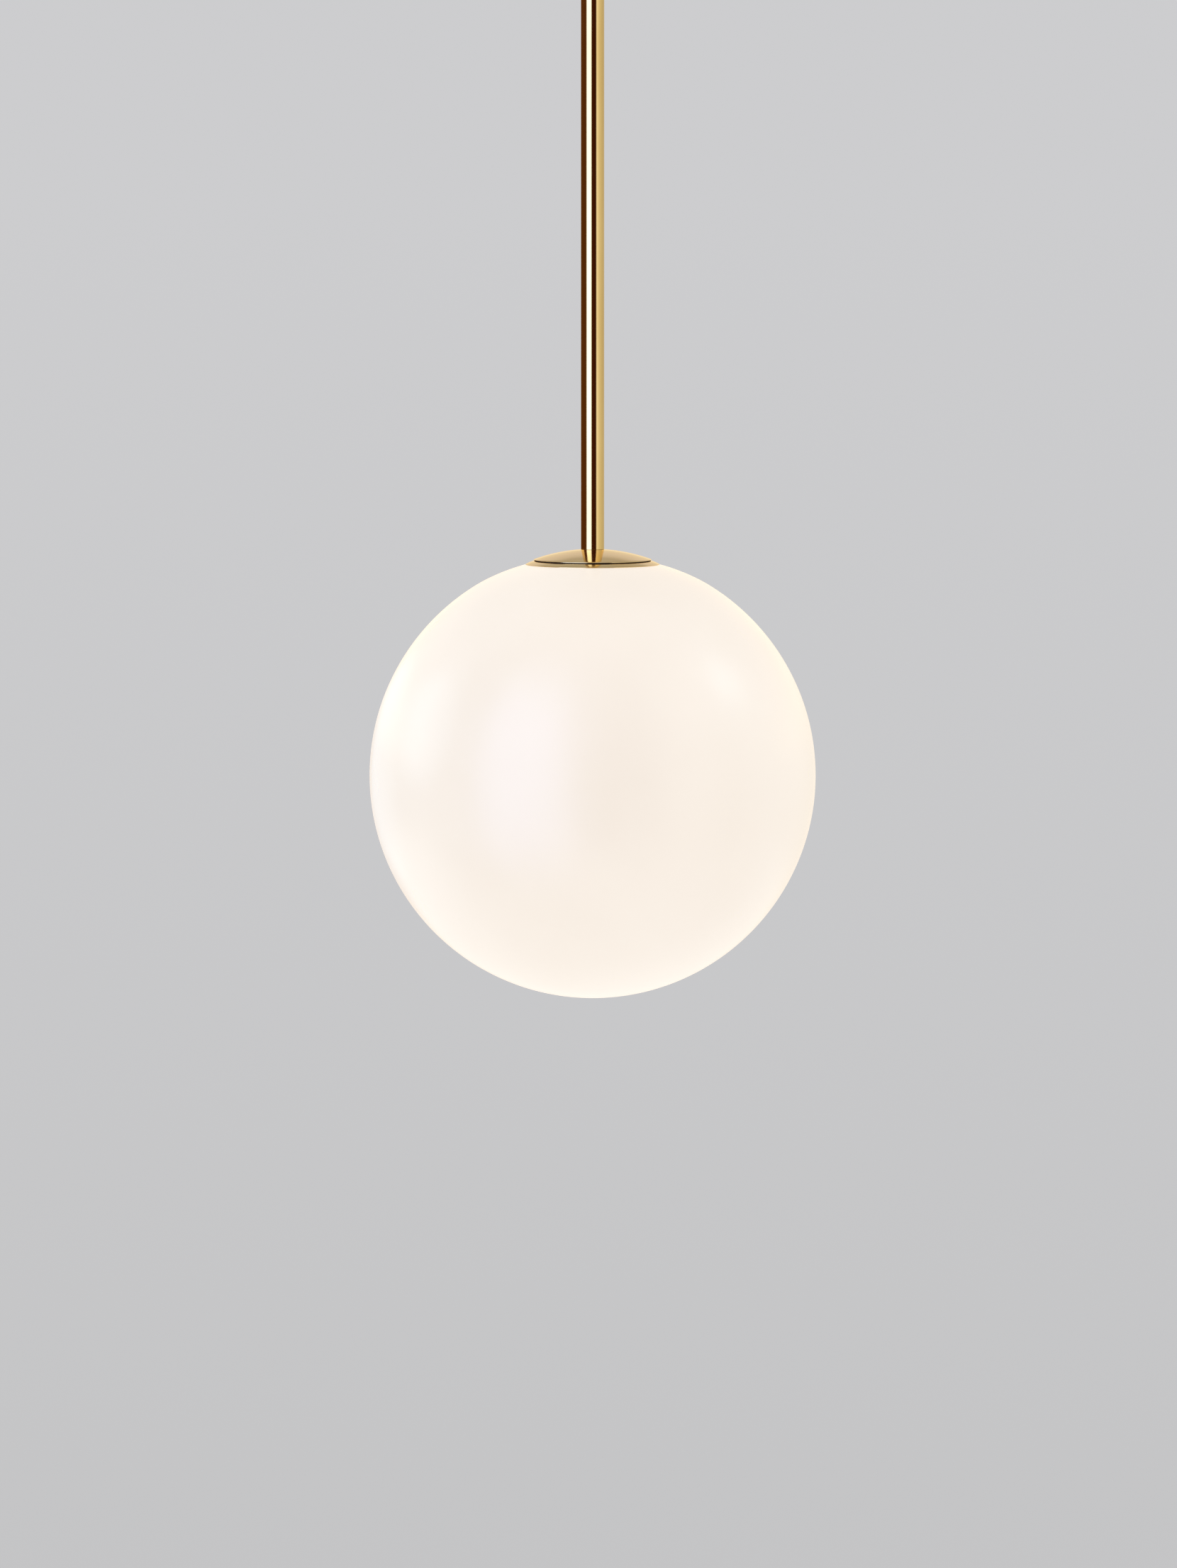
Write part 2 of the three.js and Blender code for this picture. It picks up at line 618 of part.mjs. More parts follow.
// ---------------------------------------------------------------- lampholder
const holderInner = HOLDER_RADIUS - HOLDER_WALL;
const spigotOuter = holderInner - FIT;
const spigotInner = spigotOuter - HOLDER_WALL;
const shoulderTop = bossTop - BOSS_HEIGHT;
const capSideTop = shoulderTop - SHOULDER_HEIGHT;
const capLow = capSideTop - HOLDER_CAP_SIDE;
const roofCurve = SHOULDER_HEIGHT - HOLDER_ROOF;
const roofLow = capSideTop + roofCurve;
const spigotLow = capLow - SPIGOT_LENGTH;
const lockHole = pinOf(1.6, 0, BOSS_RADIUS + 1)
  .rotateY(Math.PI / 2)
  .translate(0, 0, bossTop - BOSS_HEIGHT / 2);
piece(cap, "holder_cap", cut(
  turned([
    [M10, bossTop],
    [BOSS_RADIUS, bossTop],
    [BOSS_RADIUS, shoulderTop],
    ...arc(HOLDER_RADIUS - SHOULDER_HEIGHT, capSideTop, SHOULDER_HEIGHT, 90, 0, 4),
    [HOLDER_RADIUS, capLow],
    [spigotOuter, capLow],
    [spigotOuter, spigotLow],
    [spigotInner, spigotLow],
    ...arc(spigotInner - roofCurve, capSideTop, roofCurve, 0, 90, 2),
    [M10, roofLow],
  ]),
  lockHole,
), black);
piece(cap, "holder_lock_screw", pinOf(1.3, M10 + FIT, BOSS_RADIUS + 0.5)
  .rotateY(Math.PI / 2)
  .translate(0, 0, bossTop - BOSS_HEIGHT / 2), steel);

const insertTop = spigotLow - FIT;
const discLow = insertTop - INSERT_DISC;
const shellInner = BASE_RADIUS + FIT;
const shellOuter = shellInner + SHELL_WALL;
const insertInner = shellOuter + FIT;
const insertOuter = Math.min(insertInner + INSERT_WALL, holderInner - FIT);
const insertLow = discLow - SHELL_LENGTH - 2;
const skirtLow = insertLow - TOUCH - SKIRT_LIP;
piece(cap, "holder_skirt", turned([
  [HOLDER_RADIUS, capLow - TOUCH],
  [HOLDER_RADIUS, skirtLow],
  [insertInner, skirtLow],
  [insertInner, skirtLow + SKIRT_LIP],
  [holderInner, skirtLow + SKIRT_LIP],
  [holderInner, capLow - TOUCH],
]), black);

const plungerHole = PLUNGER_RADIUS + FIT;
piece(cap, "holder_insert", turned([
  [plungerHole, insertTop],
  [insertOuter, insertTop],
  [insertOuter, insertLow],
  [insertInner, insertLow],
  [insertInner, discLow],
  [plungerHole, discLow],
]), porcelain);

piece(cap, "holder_shell", turned([
  [shellInner, discLow - SHELL_LENGTH - TOUCH],
  [shellOuter, discLow - SHELL_LENGTH - TOUCH],
  [shellOuter, discLow - TOUCH],
  [shellInner - 3, discLow - TOUCH],
  [shellInner - 3, discLow - TOUCH - SHELL_WALL],
  [shellInner, discLow - TOUCH - SHELL_WALL],
]), rawBrass);

const plungerLow = discLow - PLUNGER_REACH;
piece(cap, "contact_plunger", turned([
  [0, plungerLow],
  [1.4, plungerLow],
  [PLUNGER_RADIUS, plungerLow + 1.2],
  [PLUNGER_RADIUS, insertTop - 1],
  [0, insertTop - 1],
]), rawBrass);

const gripTop = roofLow - TOUCH;
const gripLow = gripTop - 3;
piece(cap, "cord_grip", ringOf(bushInner, BOSS_RADIUS - 1, gripLow, gripTop), nylon);

// Three terminals on the insert, each with a lead from the flex's end.
const flexEnd = gripLow - 0.8;
const terminals = [["live", 0, brownCore], ["neutral", 180, blueCore], ["earth", 90, greenCore]];
for (const [name, turn, colour] of terminals) {
  const half = TERMINAL_SIZE / 2;
  const top = insertTop + TOUCH + TERMINAL_SIZE;
  const body = block(TERMINAL_OUT - half, TERMINAL_OUT + half, -half, half,
    insertTop + TOUCH, top);
  const hole = pinOf(LEAD_RADIUS + FIT, -TERMINAL_SIZE / 2, TERMINAL_SIZE)
    .translate(TERMINAL_OUT, 0, top);
  const angle = THREE.MathUtils.degToRad(turn);
  piece(cap, `holder_terminal_${name}`, cut(body, hole).rotateZ(angle), rawBrass);
  piece(cap, `holder_lead_${name}`, wire([
    [1.5, 0, flexEnd - FIT],
    [2.2, 0, flexEnd - 1.6],
    [TERMINAL_OUT - 2.2, 0, flexEnd - 2.4],
    [TERMINAL_OUT, 0, top + 0.6],
    [TERMINAL_OUT, 0, top - TERMINAL_SIZE / 2 + 0.8],
  ], LEAD_RADIUS, 12, 6).rotateZ(angle), colour);
}

// ---------------------------------------------------------------- lamp
const lampTop = plungerLow - TOUCH;
const contactLow = lampTop - CONTACT_THICK;
const insulatorLow = contactLow - TOUCH - INSULATOR_HEIGHT;
const baseLow = lampTop - BASE_LENGTH;
const lampLow = lampTop - LAMP_LENGTH;
const bulbCentre = lampLow + LAMP_RADIUS;
const boardZ = bulbCentre + 4;
piece(cap, "lamp_contact", turned([
  [0, contactLow],
  [CONTACT_RADIUS, contactLow],
  [CONTACT_RADIUS - 0.6, lampTop],
  [0, lampTop],
]), steel);
piece(cap, "lamp_insulator", turned([
  [0, insulatorLow],
  [CONTACT_RADIUS + 4.4, insulatorLow],
  [CONTACT_RADIUS + 0.6, contactLow - TOUCH],
  [0, contactLow - TOUCH],
]), black);

const baseTop = insulatorLow - TOUCH;
piece(cap, "lamp_base", turned([
  [CONTACT_RADIUS, baseTop],
  [CONTACT_RADIUS + 4.4, baseTop],
  [BASE_RADIUS, baseTop - 2],
  [BASE_RADIUS, baseLow],
  [BASE_RADIUS - SHELL_WALL, baseLow],
  [BASE_RADIUS - SHELL_WALL, baseTop - 2],
  [CONTACT_RADIUS + 4, baseTop - SHELL_WALL],
  [CONTACT_RADIUS, baseTop - SHELL_WALL],
]), steel);

const bodyTop = baseLow - TOUCH;
const bodyHeight = bodyTop - boardZ;
function bodyRadius(share) {
  const flare = 0.5 - 0.5 * Math.cos(Math.PI * share ** 0.85);
  return BASE_RADIUS + (LAMP_RADIUS - BASE_RADIUS) * flare;
}
const bodySkin = steps(0, 1, 6).map((s) => [bodyRadius(s), bodyTop - s * bodyHeight]);
piece(cap, "lamp_body", turned([
  ...bodySkin,
  ...bodySkin.map(([r, z]) => [r - LAMP_SKIN, z]).reverse(),
]), polymer);
piece(cap, "lamp_board", turned([
  [0, boardZ + TOUCH],
  [LAMP_RADIUS - LAMP_SKIN - FIT, boardZ + TOUCH],
  [LAMP_RADIUS - LAMP_SKIN - FIT - 1.5, boardZ + TOUCH + BOARD_THICK],
  [0, boardZ + TOUCH + BOARD_THICK],
]), steel);

const bulbSide = boardZ - TOUCH;
const bulbInner = LAMP_RADIUS - LAMP_SKIN;
piece(cap, "lamp_bulb", turned([
  [LAMP_RADIUS, bulbSide],
  ...arc(0, bulbCentre, LAMP_RADIUS, 0, -90, 7).slice(0, -1),
  [0, lampLow],
  [0, lampLow + LAMP_SKIN],
  ...arc(0, bulbCentre, bulbInner, -90, 0, 6).slice(1),
  [bulbInner, bulbSide],
]), opal);

// ---------------------------------------------------------------- flex
// It enters from the terminal block, comes down through the swivel's bushing, and runs in the rod
// to the lampholder. The two stretches meet in the hollow above the ball.
const ballTop = ballZ + BALL_RADIUS;
const flexSplit = ballZ + HOUSING_TOP - HOUSING_ROOF + 0.5;
const sheathEnd = blockNear - 8;
piece(light, "flex_upper", wire([
  [0, 0, flexSplit],
  [0, 0, flexSplit + 3],
  [0, 1.2, wireZ - 4],
  [0, 5.5, wireZ - 0.6],
  [0, sheathEnd, wireZ],
], FLEX_RADIUS, 14, 12), sheath);
const flexFoot = capZ + flexEnd;
piece(light, "flex_lower", pinOf(FLEX_RADIUS, flexFoot, ballTop, TINY_SIDES), sheath);

const coreSpread = 2 * CORE_RADIUS + FIT;
[["live", -1, brownCore], ["neutral", 0, blueCore], ["earth", 1, greenCore]].forEach(
  ([name, side, colour]) => {
    piece(light, `core_${name}`, wire([
      [side * coreSpread, sheathEnd + FIT, wireZ],
      [side * (coreSpread + 0.8), sheathEnd + 1.8, wireZ],
      [side * POLE_PITCH, blockNear - 1.5, wireZ],
      [side * POLE_PITCH, blockNear + 6, wireZ],
    ], CORE_RADIUS, 12), colour);
  },
);

export default light;
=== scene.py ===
# A pendant ceiling light: an opal glass globe under a shallow brass cap, on a rigid brass rod that
# hangs from a ball swivel in a round canopy. The origin is where the ceiling strap meets the ceiling.
import math

import bmesh
import bpy
from mathutils import Matrix, Vector


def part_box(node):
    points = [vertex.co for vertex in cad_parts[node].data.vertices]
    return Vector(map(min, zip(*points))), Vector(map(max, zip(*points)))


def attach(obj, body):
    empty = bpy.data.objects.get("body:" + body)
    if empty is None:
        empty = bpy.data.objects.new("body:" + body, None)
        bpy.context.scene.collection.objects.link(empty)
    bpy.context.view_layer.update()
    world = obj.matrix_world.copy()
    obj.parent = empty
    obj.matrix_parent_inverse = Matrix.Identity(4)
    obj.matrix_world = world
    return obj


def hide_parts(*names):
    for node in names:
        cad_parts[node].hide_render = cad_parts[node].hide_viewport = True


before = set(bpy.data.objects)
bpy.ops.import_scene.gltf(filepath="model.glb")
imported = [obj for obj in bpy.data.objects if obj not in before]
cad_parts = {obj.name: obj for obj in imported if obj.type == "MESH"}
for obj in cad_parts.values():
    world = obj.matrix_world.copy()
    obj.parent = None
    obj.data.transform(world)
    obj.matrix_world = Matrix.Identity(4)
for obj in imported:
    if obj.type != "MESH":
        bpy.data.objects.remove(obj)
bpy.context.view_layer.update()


# ---- Camera
# A long lens well back from the light, a little above the cap, so the rod hangs upright and the
# cap's dome is seen as a thin lens.
mm = 0.001


def placed(name, data):
    """A new object in the scene."""
    thing = bpy.data.objects.new(name, data)
    bpy.context.scene.collection.objects.link(thing)
    return thing


globe_radius = 125
globe_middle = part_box("globe_glass")[0].z + globe_radius * mm
cap_height = globe_middle + 121 * mm
camera_distance = 6.0
camera_rise = math.radians(3.15)
view_height = 0.878
aim_aside = -2.3 * mm
aim_below = 5.0 * mm
camera_data = bpy.data.cameras.new("camera")
camera_data.sensor_width = 36
camera_data.lens = camera_data.sensor_width * camera_distance / view_height
camera_data.clip_end = 60
camera = placed("camera", camera_data)
bpy.context.scene.camera = camera
camera_back = camera_distance * math.cos(camera_rise)
camera.location = (0, -camera_back, cap_height + camera_distance * math.sin(camera_rise))
aim = Vector((aim_aside, 0, globe_middle - aim_below))
camera.rotation_mode = "QUATERNION"
camera.rotation_quaternion = (aim - camera.location).to_track_quat("-Z", "Y")


# ---- Room
# A pale studio: a round backdrop that fades a little darker downwards, a floor in the same paint,
# three soft panels for the glass, and the surroundings that the polished brass mirrors.
def colour_ramp(tree, factor, stops):
    """Colours along a factor that goes from 0 to 1; each stop is a place and its colour."""
    ramp = tree.nodes.new("ShaderNodeValToRGB")
    elements = ramp.color_ramp.elements
    while len(elements) < len(stops):
        elements.new(0.5)
    for element, (place, colour) in zip(elements, stops):
        element.position = place
        element.color = (*colour, 1)
    tree.links.new(factor, ramp.inputs[0])
    return ramp.outputs["Color"]


def between(tree, factor, low, high, start=0.3, end=0.7):
    """A value that goes from low to high while the factor goes from start to end."""
    span = tree.nodes.new("ShaderNodeMapRange")
    span.inputs["From Min"].default_value = start
    span.inputs["From Max"].default_value = end
    span.inputs["To Min"].default_value = low
    span.inputs["To Max"].default_value = high
    tree.links.new(factor, span.inputs["Value"])
    return span.outputs[0]


def arithmetic(tree, operation, *values):
    """One step of arithmetic, in which a value is a number or another node's output."""
    step = tree.nodes.new("ShaderNodeMath")
    step.operation = operation
    for socket, value in zip(step.inputs, values):
        if isinstance(value, (int, float)):
            socket.default_value = value
        else:
            tree.links.new(value, socket)
    return step.outputs[0]


def room_paint(name):
    paint = bpy.data.materials.new(name)
    paint.use_nodes = True
    tree = paint.node_tree
    tree.nodes.remove(tree.nodes["Principled BSDF"])
    place = tree.nodes.new("ShaderNodeTexCoord")
    split = tree.nodes.new("ShaderNodeSeparateXYZ")
    tree.links.new(place.outputs["Object"], split.inputs[0])
    height = between(tree, split.outputs["Z"], 0, 1, start=-3.9, end=-0.7)
    shade = colour_ramp(tree, height, [(0, (0.545, 0.545, 0.552)), (1, (0.610, 0.610, 0.622))])
    glow = tree.nodes.new("ShaderNodeEmission")
    tree.links.new(shade, glow.inputs["Color"])
    tree.links.new(glow.outputs[0], tree.nodes["Material Output"].inputs["Surface"])
    return paint


def room_shell(name, points, sides=96):
    """A round shell through radii and heights in metres. It isn't mirrored and casts no shadow."""
    shell = bmesh.new()
    turns = [i * math.tau / sides for i in range(sides)]
    rows = []
    for radius, level in points:
        rows.append([shell.verts.new((radius * math.cos(a), radius * math.sin(a), level)) for a in turns])
    for lower, upper in zip(rows, rows[1:]):
        for i in range(sides):
            j = (i + 1) % sides
            shell.faces.new((lower[i], lower[j], upper[j], upper[i]))
    shell.faces.new(rows[0])
    if len(rows) > 2:
        shell.faces.new(rows[-1])
    mesh = bpy.data.meshes.new(name)
    shell.to_mesh(mesh)
    shell.free()
    mesh.shade_smooth()
    piece = placed(name, mesh)
    mesh.materials.append(room_paint(name + "_paint"))
    piece.visible_glossy = False
    piece.visible_transmission = False
    piece.visible_shadow = False


backdrop_radius = 16.0
backdrop_tilts = [math.radians(a) for a in range(-87, 88, 6)]
backdrop_points = [(backdrop_radius * math.cos(a), backdrop_radius * math.sin(a)) for a in backdrop_tilts]
floor_radius = 14.0
floor_level = -7.0
room_shell("backdrop", backdrop_points)
room_shell("floor", [(0.05, floor_level), (floor_radius, floor_level)])

lit_glass = bpy.data.collections.new("lit_glass")
panel_distance = 3.0


def soft_panel(name, way, size, power, colour):
    """A round panel that faces the globe from the given direction and lights only the glass."""
    panel_data = bpy.data.lights.new(name, "AREA")
    panel_data.shape = "DISK"
    panel_data.size = size
    panel_data.energy = power
    panel_data.color = colour
    panel = placed(name, panel_data)
    panel.location = Vector((0, 0, globe_middle)) + panel_distance * Vector(way).normalized()
    panel.rotation_mode = "QUATERNION"
    panel.rotation_quaternion = Vector(way).to_track_quat("Z", "Y")
    panel.visible_camera = False
    panel.light_linking.receiver_collection = lit_glass
    return panel


soft_panel("panel_left", (-0.955, 0.16, 0.26), 2.0, 12.0, (0.62, 0.93, 1.25))
soft_panel("panel_right", (0.822, 0.055, 0.575), 1.0, 4.2, (0.70, 0.97, 1.15))
behind = soft_panel("panel_behind", (-0.62, 0.78, -0.03), 2.0, 6.0, (0.75, 1.0, 1.2))
behind.visible_diffuse = False

# The surroundings: a belt round the light, by degrees from its front, and above and below the belt
# the sky, by the sine of the height. The belt reaches higher and lower in front than behind.
room = bpy.data.worlds.new("room")
bpy.context.scene.world = room
bpy.context.scene.view_settings.view_transform = "Standard"
room.use_nodes = True
room.cycles_visibility.diffuse = False
room.cycles_visibility.camera = False
room_tree = room.node_tree
look = room_tree.nodes.new("ShaderNodeTexCoord")
way = room_tree.nodes.new("ShaderNodeSeparateXYZ")
room_tree.links.new(look.outputs["Generated"], way.inputs[0])
forwards = arithmetic(room_tree, "MULTIPLY", way.outputs["Y"], -1.0)
around = arithmetic(room_tree, "ARCTAN2", way.outputs["X"], forwards)
around_share = arithmetic(room_tree, "ADD", arithmetic(room_tree, "DIVIDE", around, math.tau), 0.5)
sine_share = arithmetic(room_tree, "ADD", arithmetic(room_tree, "MULTIPLY", way.outputs["Z"], 0.5), 0.5)
belt_stops = [
    (-180, (0.80, 0.64, 0.45)), (-172, (0.70, 0.50, 0.30)), (-164, (0.10, 0.035, 0.008)),
    (-65, (0.085, 0.028, 0.006)), (-57, (1.5, 1.9, 3.1)), (-20, (1.5, 1.9, 3.15)),
    (-14, (1.1, 1.35, 2.0)), (-9, (0.06, 0.014, 0.002)), (34, (0.035, 0.008, 0.001)),
    (41, (0.98, 0.98, 0.98)), (70, (0.74, 0.72, 0.62)), (110, (0.60, 0.57, 0.47)),
    (160, (0.56, 0.52, 0.42)), (180, (0.80, 0.64, 0.45)),
]
sky_stops = [
    (-1.0, (1.08, 1.14, 1.16)), (-0.4, (0.86, 0.88, 0.86)), (-0.1, (0.90, 0.78, 0.60)),
    (0.02, (1.12, 0.93, 0.62)), (0.12, (1.00, 0.84, 0.56)), (0.22, (0.82, 0.70, 0.49)),
    (0.34, (0.75, 0.65, 0.53)), (0.43, (0.69, 0.62, 0.54)), (0.49, (0.63, 0.57, 0.50)),
    (0.57, (0.46, 0.42, 0.36)), (0.66, (0.50, 0.46, 0.38)), (0.78, (0.40, 0.38, 0.33)),
    (0.88, (0.42, 0.40, 0.35)), (1.0, (0.72, 0.71, 0.70)),
]
belt = colour_ramp(room_tree, around_share, [(angle / 360 + 0.5, colour) for angle, colour in belt_stops])
sky = colour_ramp(room_tree, sine_share, [(sine / 2 + 0.5, colour) for sine, colour in sky_stops])


def reach(factor, stops):
    """A share from 0 to 1 along a list of places and shares."""
    return colour_ramp(room_tree, factor, [(place, (share, share, share)) for place, share in stops])


level_reach = reach(sine_share, [(0.33, 0), (0.39, 1), (0.51, 1), (0.545, 0)])
tall_reach = reach(sine_share, [(0.10, 0), (0.30, 1), (0.80, 1), (0.95, 0)])
front_reach = reach(around_share, [(0.21, 0), (0.245, 1), (0.78, 1), (0.82, 0)])
front_belt = arithmetic(room_tree, "MULTIPLY", tall_reach, front_reach)
belt_share = arithmetic(room_tree, "MAXIMUM", level_reach, front_belt)
surroundings = room_tree.nodes.new("ShaderNodeMix")
surroundings.data_type = "RGBA"
room_tree.links.new(belt_share, surroundings.inputs["Factor"])
room_tree.links.new(sky, surroundings.inputs["A"])
room_tree.links.new(belt, surroundings.inputs["B"])
room_tree.links.new(surroundings.outputs["Result"], room_tree.nodes["Background"].inputs["Color"])


# ---- Ceiling strap
# A folded steel strap, zinc plated: two slots for the ceiling screws, an ear for the terminal block,
# and a tab at each end that a canopy screw bites into.
def new_finish(name):
    finish = bpy.data.materials.new(name)
    finish.use_nodes = True
    return finish, finish.node_tree, finish.node_tree.nodes["Principled BSDF"]


def grain(tree, scale, detail, stretch=(1, 1, 1), roughness=0.55):
    """Noise in the piece's own space, drawn out along an axis where its stretch is small."""
    place = tree.nodes.new("ShaderNodeTexCoord")
    spread = tree.nodes.new("ShaderNodeMapping")
    spread.inputs["Scale"].default_value = stretch
    noise = tree.nodes.new("ShaderNodeTexNoise")
    noise.inputs["Scale"].default_value = scale
    noise.inputs["Detail"].default_value = detail
    noise.inputs["Roughness"].default_value = roughness
    tree.links.new(place.outputs["Object"], spread.inputs["Vector"])
    tree.links.new(spread.outputs["Vector"], noise.inputs["Vector"])
    return noise.outputs["Fac"]


def tone(tree, factor, dark, light, low=0.35, high=0.65):
    return colour_ramp(tree, factor, [(low, dark), (high, light)])


def relief(tree, shader, height, strength, depth):
    bump = tree.nodes.new("ShaderNodeBump")
    bump.inputs["Strength"].default_value = strength
    bump.inputs["Distance"].default_value = depth
    tree.links.new(height, bump.inputs["Height"])
    tree.links.new(bump.outputs["Normal"], shader.inputs["Normal"])


def mottled(name, light, dark, clouds, smears, rough, bumps, metal=0.0):
    """A finish whose tone, gloss and relief all vary. Clouds and smears give their grain's scale and
    detail, and bumps also a strength, a depth and, where they run one way, a stretch."""
    finish, tree, shader = new_finish(name)
    shader.inputs["Metallic"].default_value = metal
    tree.links.new(tone(tree, grain(tree, *clouds), dark, light), shader.inputs["Base Color"])
    tree.links.new(between(tree, grain(tree, *smears), *rough), shader.inputs["Roughness"])
    scale, detail, strength, depth, *stretch = bumps
    relief(tree, shader, grain(tree, scale, detail, *stretch), strength, depth)
    return finish


def zinc_plate(name):
    rolling_marks = (1800, 2, 0.12, 0.0001, (1, 0.08, 1))
    return mottled(name, (0.68, 0.69, 0.70), (0.50, 0.51, 0.53), (260, 5), (90, 3), (0.26, 0.44),
                   rolling_marks, metal=1.0)


def without_slivers(work):
    """Splits the faces into well-shaped triangles and drops any that have no area."""
    sliver = 2e-6
    bmesh.ops.dissolve_degenerate(work, dist=sliver, edges=work.edges)
    bmesh.ops.triangulate(work, faces=work.faces, quad_method="BEAUTY", ngon_method="BEAUTY")
    bmesh.ops.dissolve_degenerate(work, dist=sliver, edges=work.edges)


def softened(node, name, body, finish, edge):
    """A finer copy of a CAD piece, with its edges rounded over by so many millimetres."""
    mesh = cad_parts[node].data.copy()
    piece = placed(name, mesh)
    work = bmesh.new()
    work.from_mesh(mesh)
    bmesh.ops.remove_doubles(work, verts=work.verts, dist=1e-6)
    bmesh.ops.dissolve_limit(work, angle_limit=math.radians(1), verts=work.verts, edges=work.edges)
    corner = math.radians(40)
    sharp = [e for e in work.edges if len(e.link_faces) == 2 and e.calc_face_angle(0) > corner]
    bmesh.ops.bevel(work, geom=sharp, offset=edge * mm, segments=2, affect="EDGES", clamp_overlap=True)
    without_slivers(work)
    work.to_mesh(mesh)
    work.free()
    mesh.materials.clear()
    mesh.materials.append(finish)
    for face in mesh.polygons:
        face.use_smooth = True
        face.material_index = 0
    even = piece.modifiers.new("even_shading", "WEIGHTED_NORMAL")
    even.keep_sharp = True
    even.weight = 100
    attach(piece, body)
    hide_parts(node)


strap_zinc = zinc_plate("strap_zinc")
softened("ceiling_strap", "strap_folded", "ceiling_mount", strap_zinc, 0.3)


# ---- Canopy
# A brass cup spun from 1.2 mm sheet with a rolled corner, polished and lacquered. It hides the
# strap and its wires and carries the swivel in the hole at its middle.
def rounded(corners, closed):
    """Profile points, with an arc at each corner that names a radius."""
    points = []
    steps = 6
    for i, corner in enumerate(corners):
        here = Vector(corner[:2])
        size = corner[2] if len(corner) > 2 else 0
        if size == 0 or (not closed and i in (0, len(corners) - 1)):
            points.append(here)
            continue
        before = Vector(corners[i - 1][:2]) - here
        after = Vector(corners[(i + 1) % len(corners)][:2]) - here
        half = before.angle(after) / 2
        if half > math.radians(88):
            points.append(here)
            continue
        trim = min(size / math.tan(half), before.length * 0.49, after.length * 0.49)
        start = here + before.normalized() * trim
        end = here + after.normalized() * trim
        for t in [k / steps for k in range(steps + 1)]:
            points.append(start * (1 - t) ** 2 + here * 2 * t * (1 - t) + end * t ** 2)
    return points


def divided(points, closed, pitch):
    """The same profile with points no further apart than the pitch."""
    finer = []
    for a, b in zip(points, points[1:] + points[:1] if closed else points[1:]):
        cuts = max(1, round((b - a).length / pitch))
        finer += [a.lerp(b, k / cuts) for k in range(cuts)]
    return finer if closed else finer + [points[-1]]


crease = math.radians(32)


def spin(name, corners, finish, body, node, closed=True, sides=128, centre=(0, 0, 0), shape=None,
         pitch=None):
    """A piece turned about the upright axis through centre, from corners in millimetres. shape moves
    a point's radius by its angle and height, and pitch is how far apart the rows then lie."""
    points = rounded(corners, closed)
    if pitch:
        points = divided(points, closed, pitch)
    work = bmesh.new()
    rows = []
    for point in points:
        if point.x < 1e-6:
            rows.append([work.verts.new((0, 0, point.y * mm))])
            continue
        row = []
        for turn in [i * math.tau / sides for i in range(sides)]:
            r = (point.x + (shape(turn, point.x, point.y) if shape else 0)) * mm
            row.append(work.verts.new((r * math.cos(turn), r * math.sin(turn), point.y * mm)))
        rows.append(row)
    for lower, upper in zip(rows, rows[1:] + rows[:1] if closed else rows[1:]):
        for i in range(sides):
            j = (i + 1) % sides
            ring = [lower[i % len(lower)], lower[j % len(lower)]]
            ring += [upper[j % len(upper)], upper[i % len(upper)]]
            ring = list(dict.fromkeys(ring))
            if len(ring) > 2:
                work.faces.new(ring)
    bmesh.ops.recalc_face_normals(work, faces=work.faces)
    mesh = bpy.data.meshes.new(name)
    work.to_mesh(mesh)
    work.free()
    mesh.shade_smooth()
    mesh.set_sharp_from_angle(angle=crease)
    mesh.materials.append(finish)
    piece = placed(name, mesh)
    piece.data.transform(Matrix.Translation(Vector(centre)))
    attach(piece, body)
    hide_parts(node)
    return piece


def levels(node):
    """The heights of a CAD piece's foot and top, in millimetres."""
    low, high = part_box(node)
    return low.z / mm, high.z / mm


def lathe_lines(tree, scale, detail=3.0):
    """Noise that only changes outwards and upwards, as the marks of a lathe tool do."""
    place = tree.nodes.new("ShaderNodeTexCoord")
    split = tree.nodes.new("ShaderNodeSeparateXYZ")
    flat = tree.nodes.new("ShaderNodeCombineXYZ")
    outwards = tree.nodes.new("ShaderNodeVectorMath")
    outwards.operation = "LENGTH"
    line = tree.nodes.new("ShaderNodeCombineXYZ")
    noise = tree.nodes.new("ShaderNodeTexNoise")
    noise.inputs["Scale"].default_value = scale
    noise.inputs["Detail"].default_value = detail
    tree.links.new(place.outputs["Object"], split.inputs[0])
    tree.links.new(split.outputs["X"], flat.inputs["X"])
    tree.links.new(split.outputs["Y"], flat.inputs["Y"])
    tree.links.new(flat.outputs[0], outwards.inputs[0])
    tree.links.new(outwards.outputs["Value"], line.inputs["X"])
    tree.links.new(split.outputs["Z"], line.inputs["Y"])
    tree.links.new(line.outputs[0], noise.inputs["Vector"])
    return noise.outputs["Fac"]


def spun_brass(name, light, dark, rough, line_depth):
    """Brass worked on a lathe: fine rings, a slow change of tone, and the odd duller patch."""
    finish, tree, shader = new_finish(name)
    shader.inputs["Metallic"].default_value = 1.0
    patches = grain(tree, 42, 5, roughness=0.6)
    tree.links.new(tone(tree, patches, dark, light, 0.3, 0.62), shader.inputs["Base Color"])
    rings = lathe_lines(tree, 2600)
    smears = grain(tree, 70, 6, (1, 1, 2.4), 0.65)
    half_smears = arithmetic(tree, "MULTIPLY", smears, 0.5)
    wear = arithmetic(tree, "MULTIPLY_ADD", rings, 0.5, half_smears)
    tree.links.new(between(tree, wear, *rough), shader.inputs["Roughness"])
    relief(tree, shader, rings, 0.25, line_depth)
    return finish


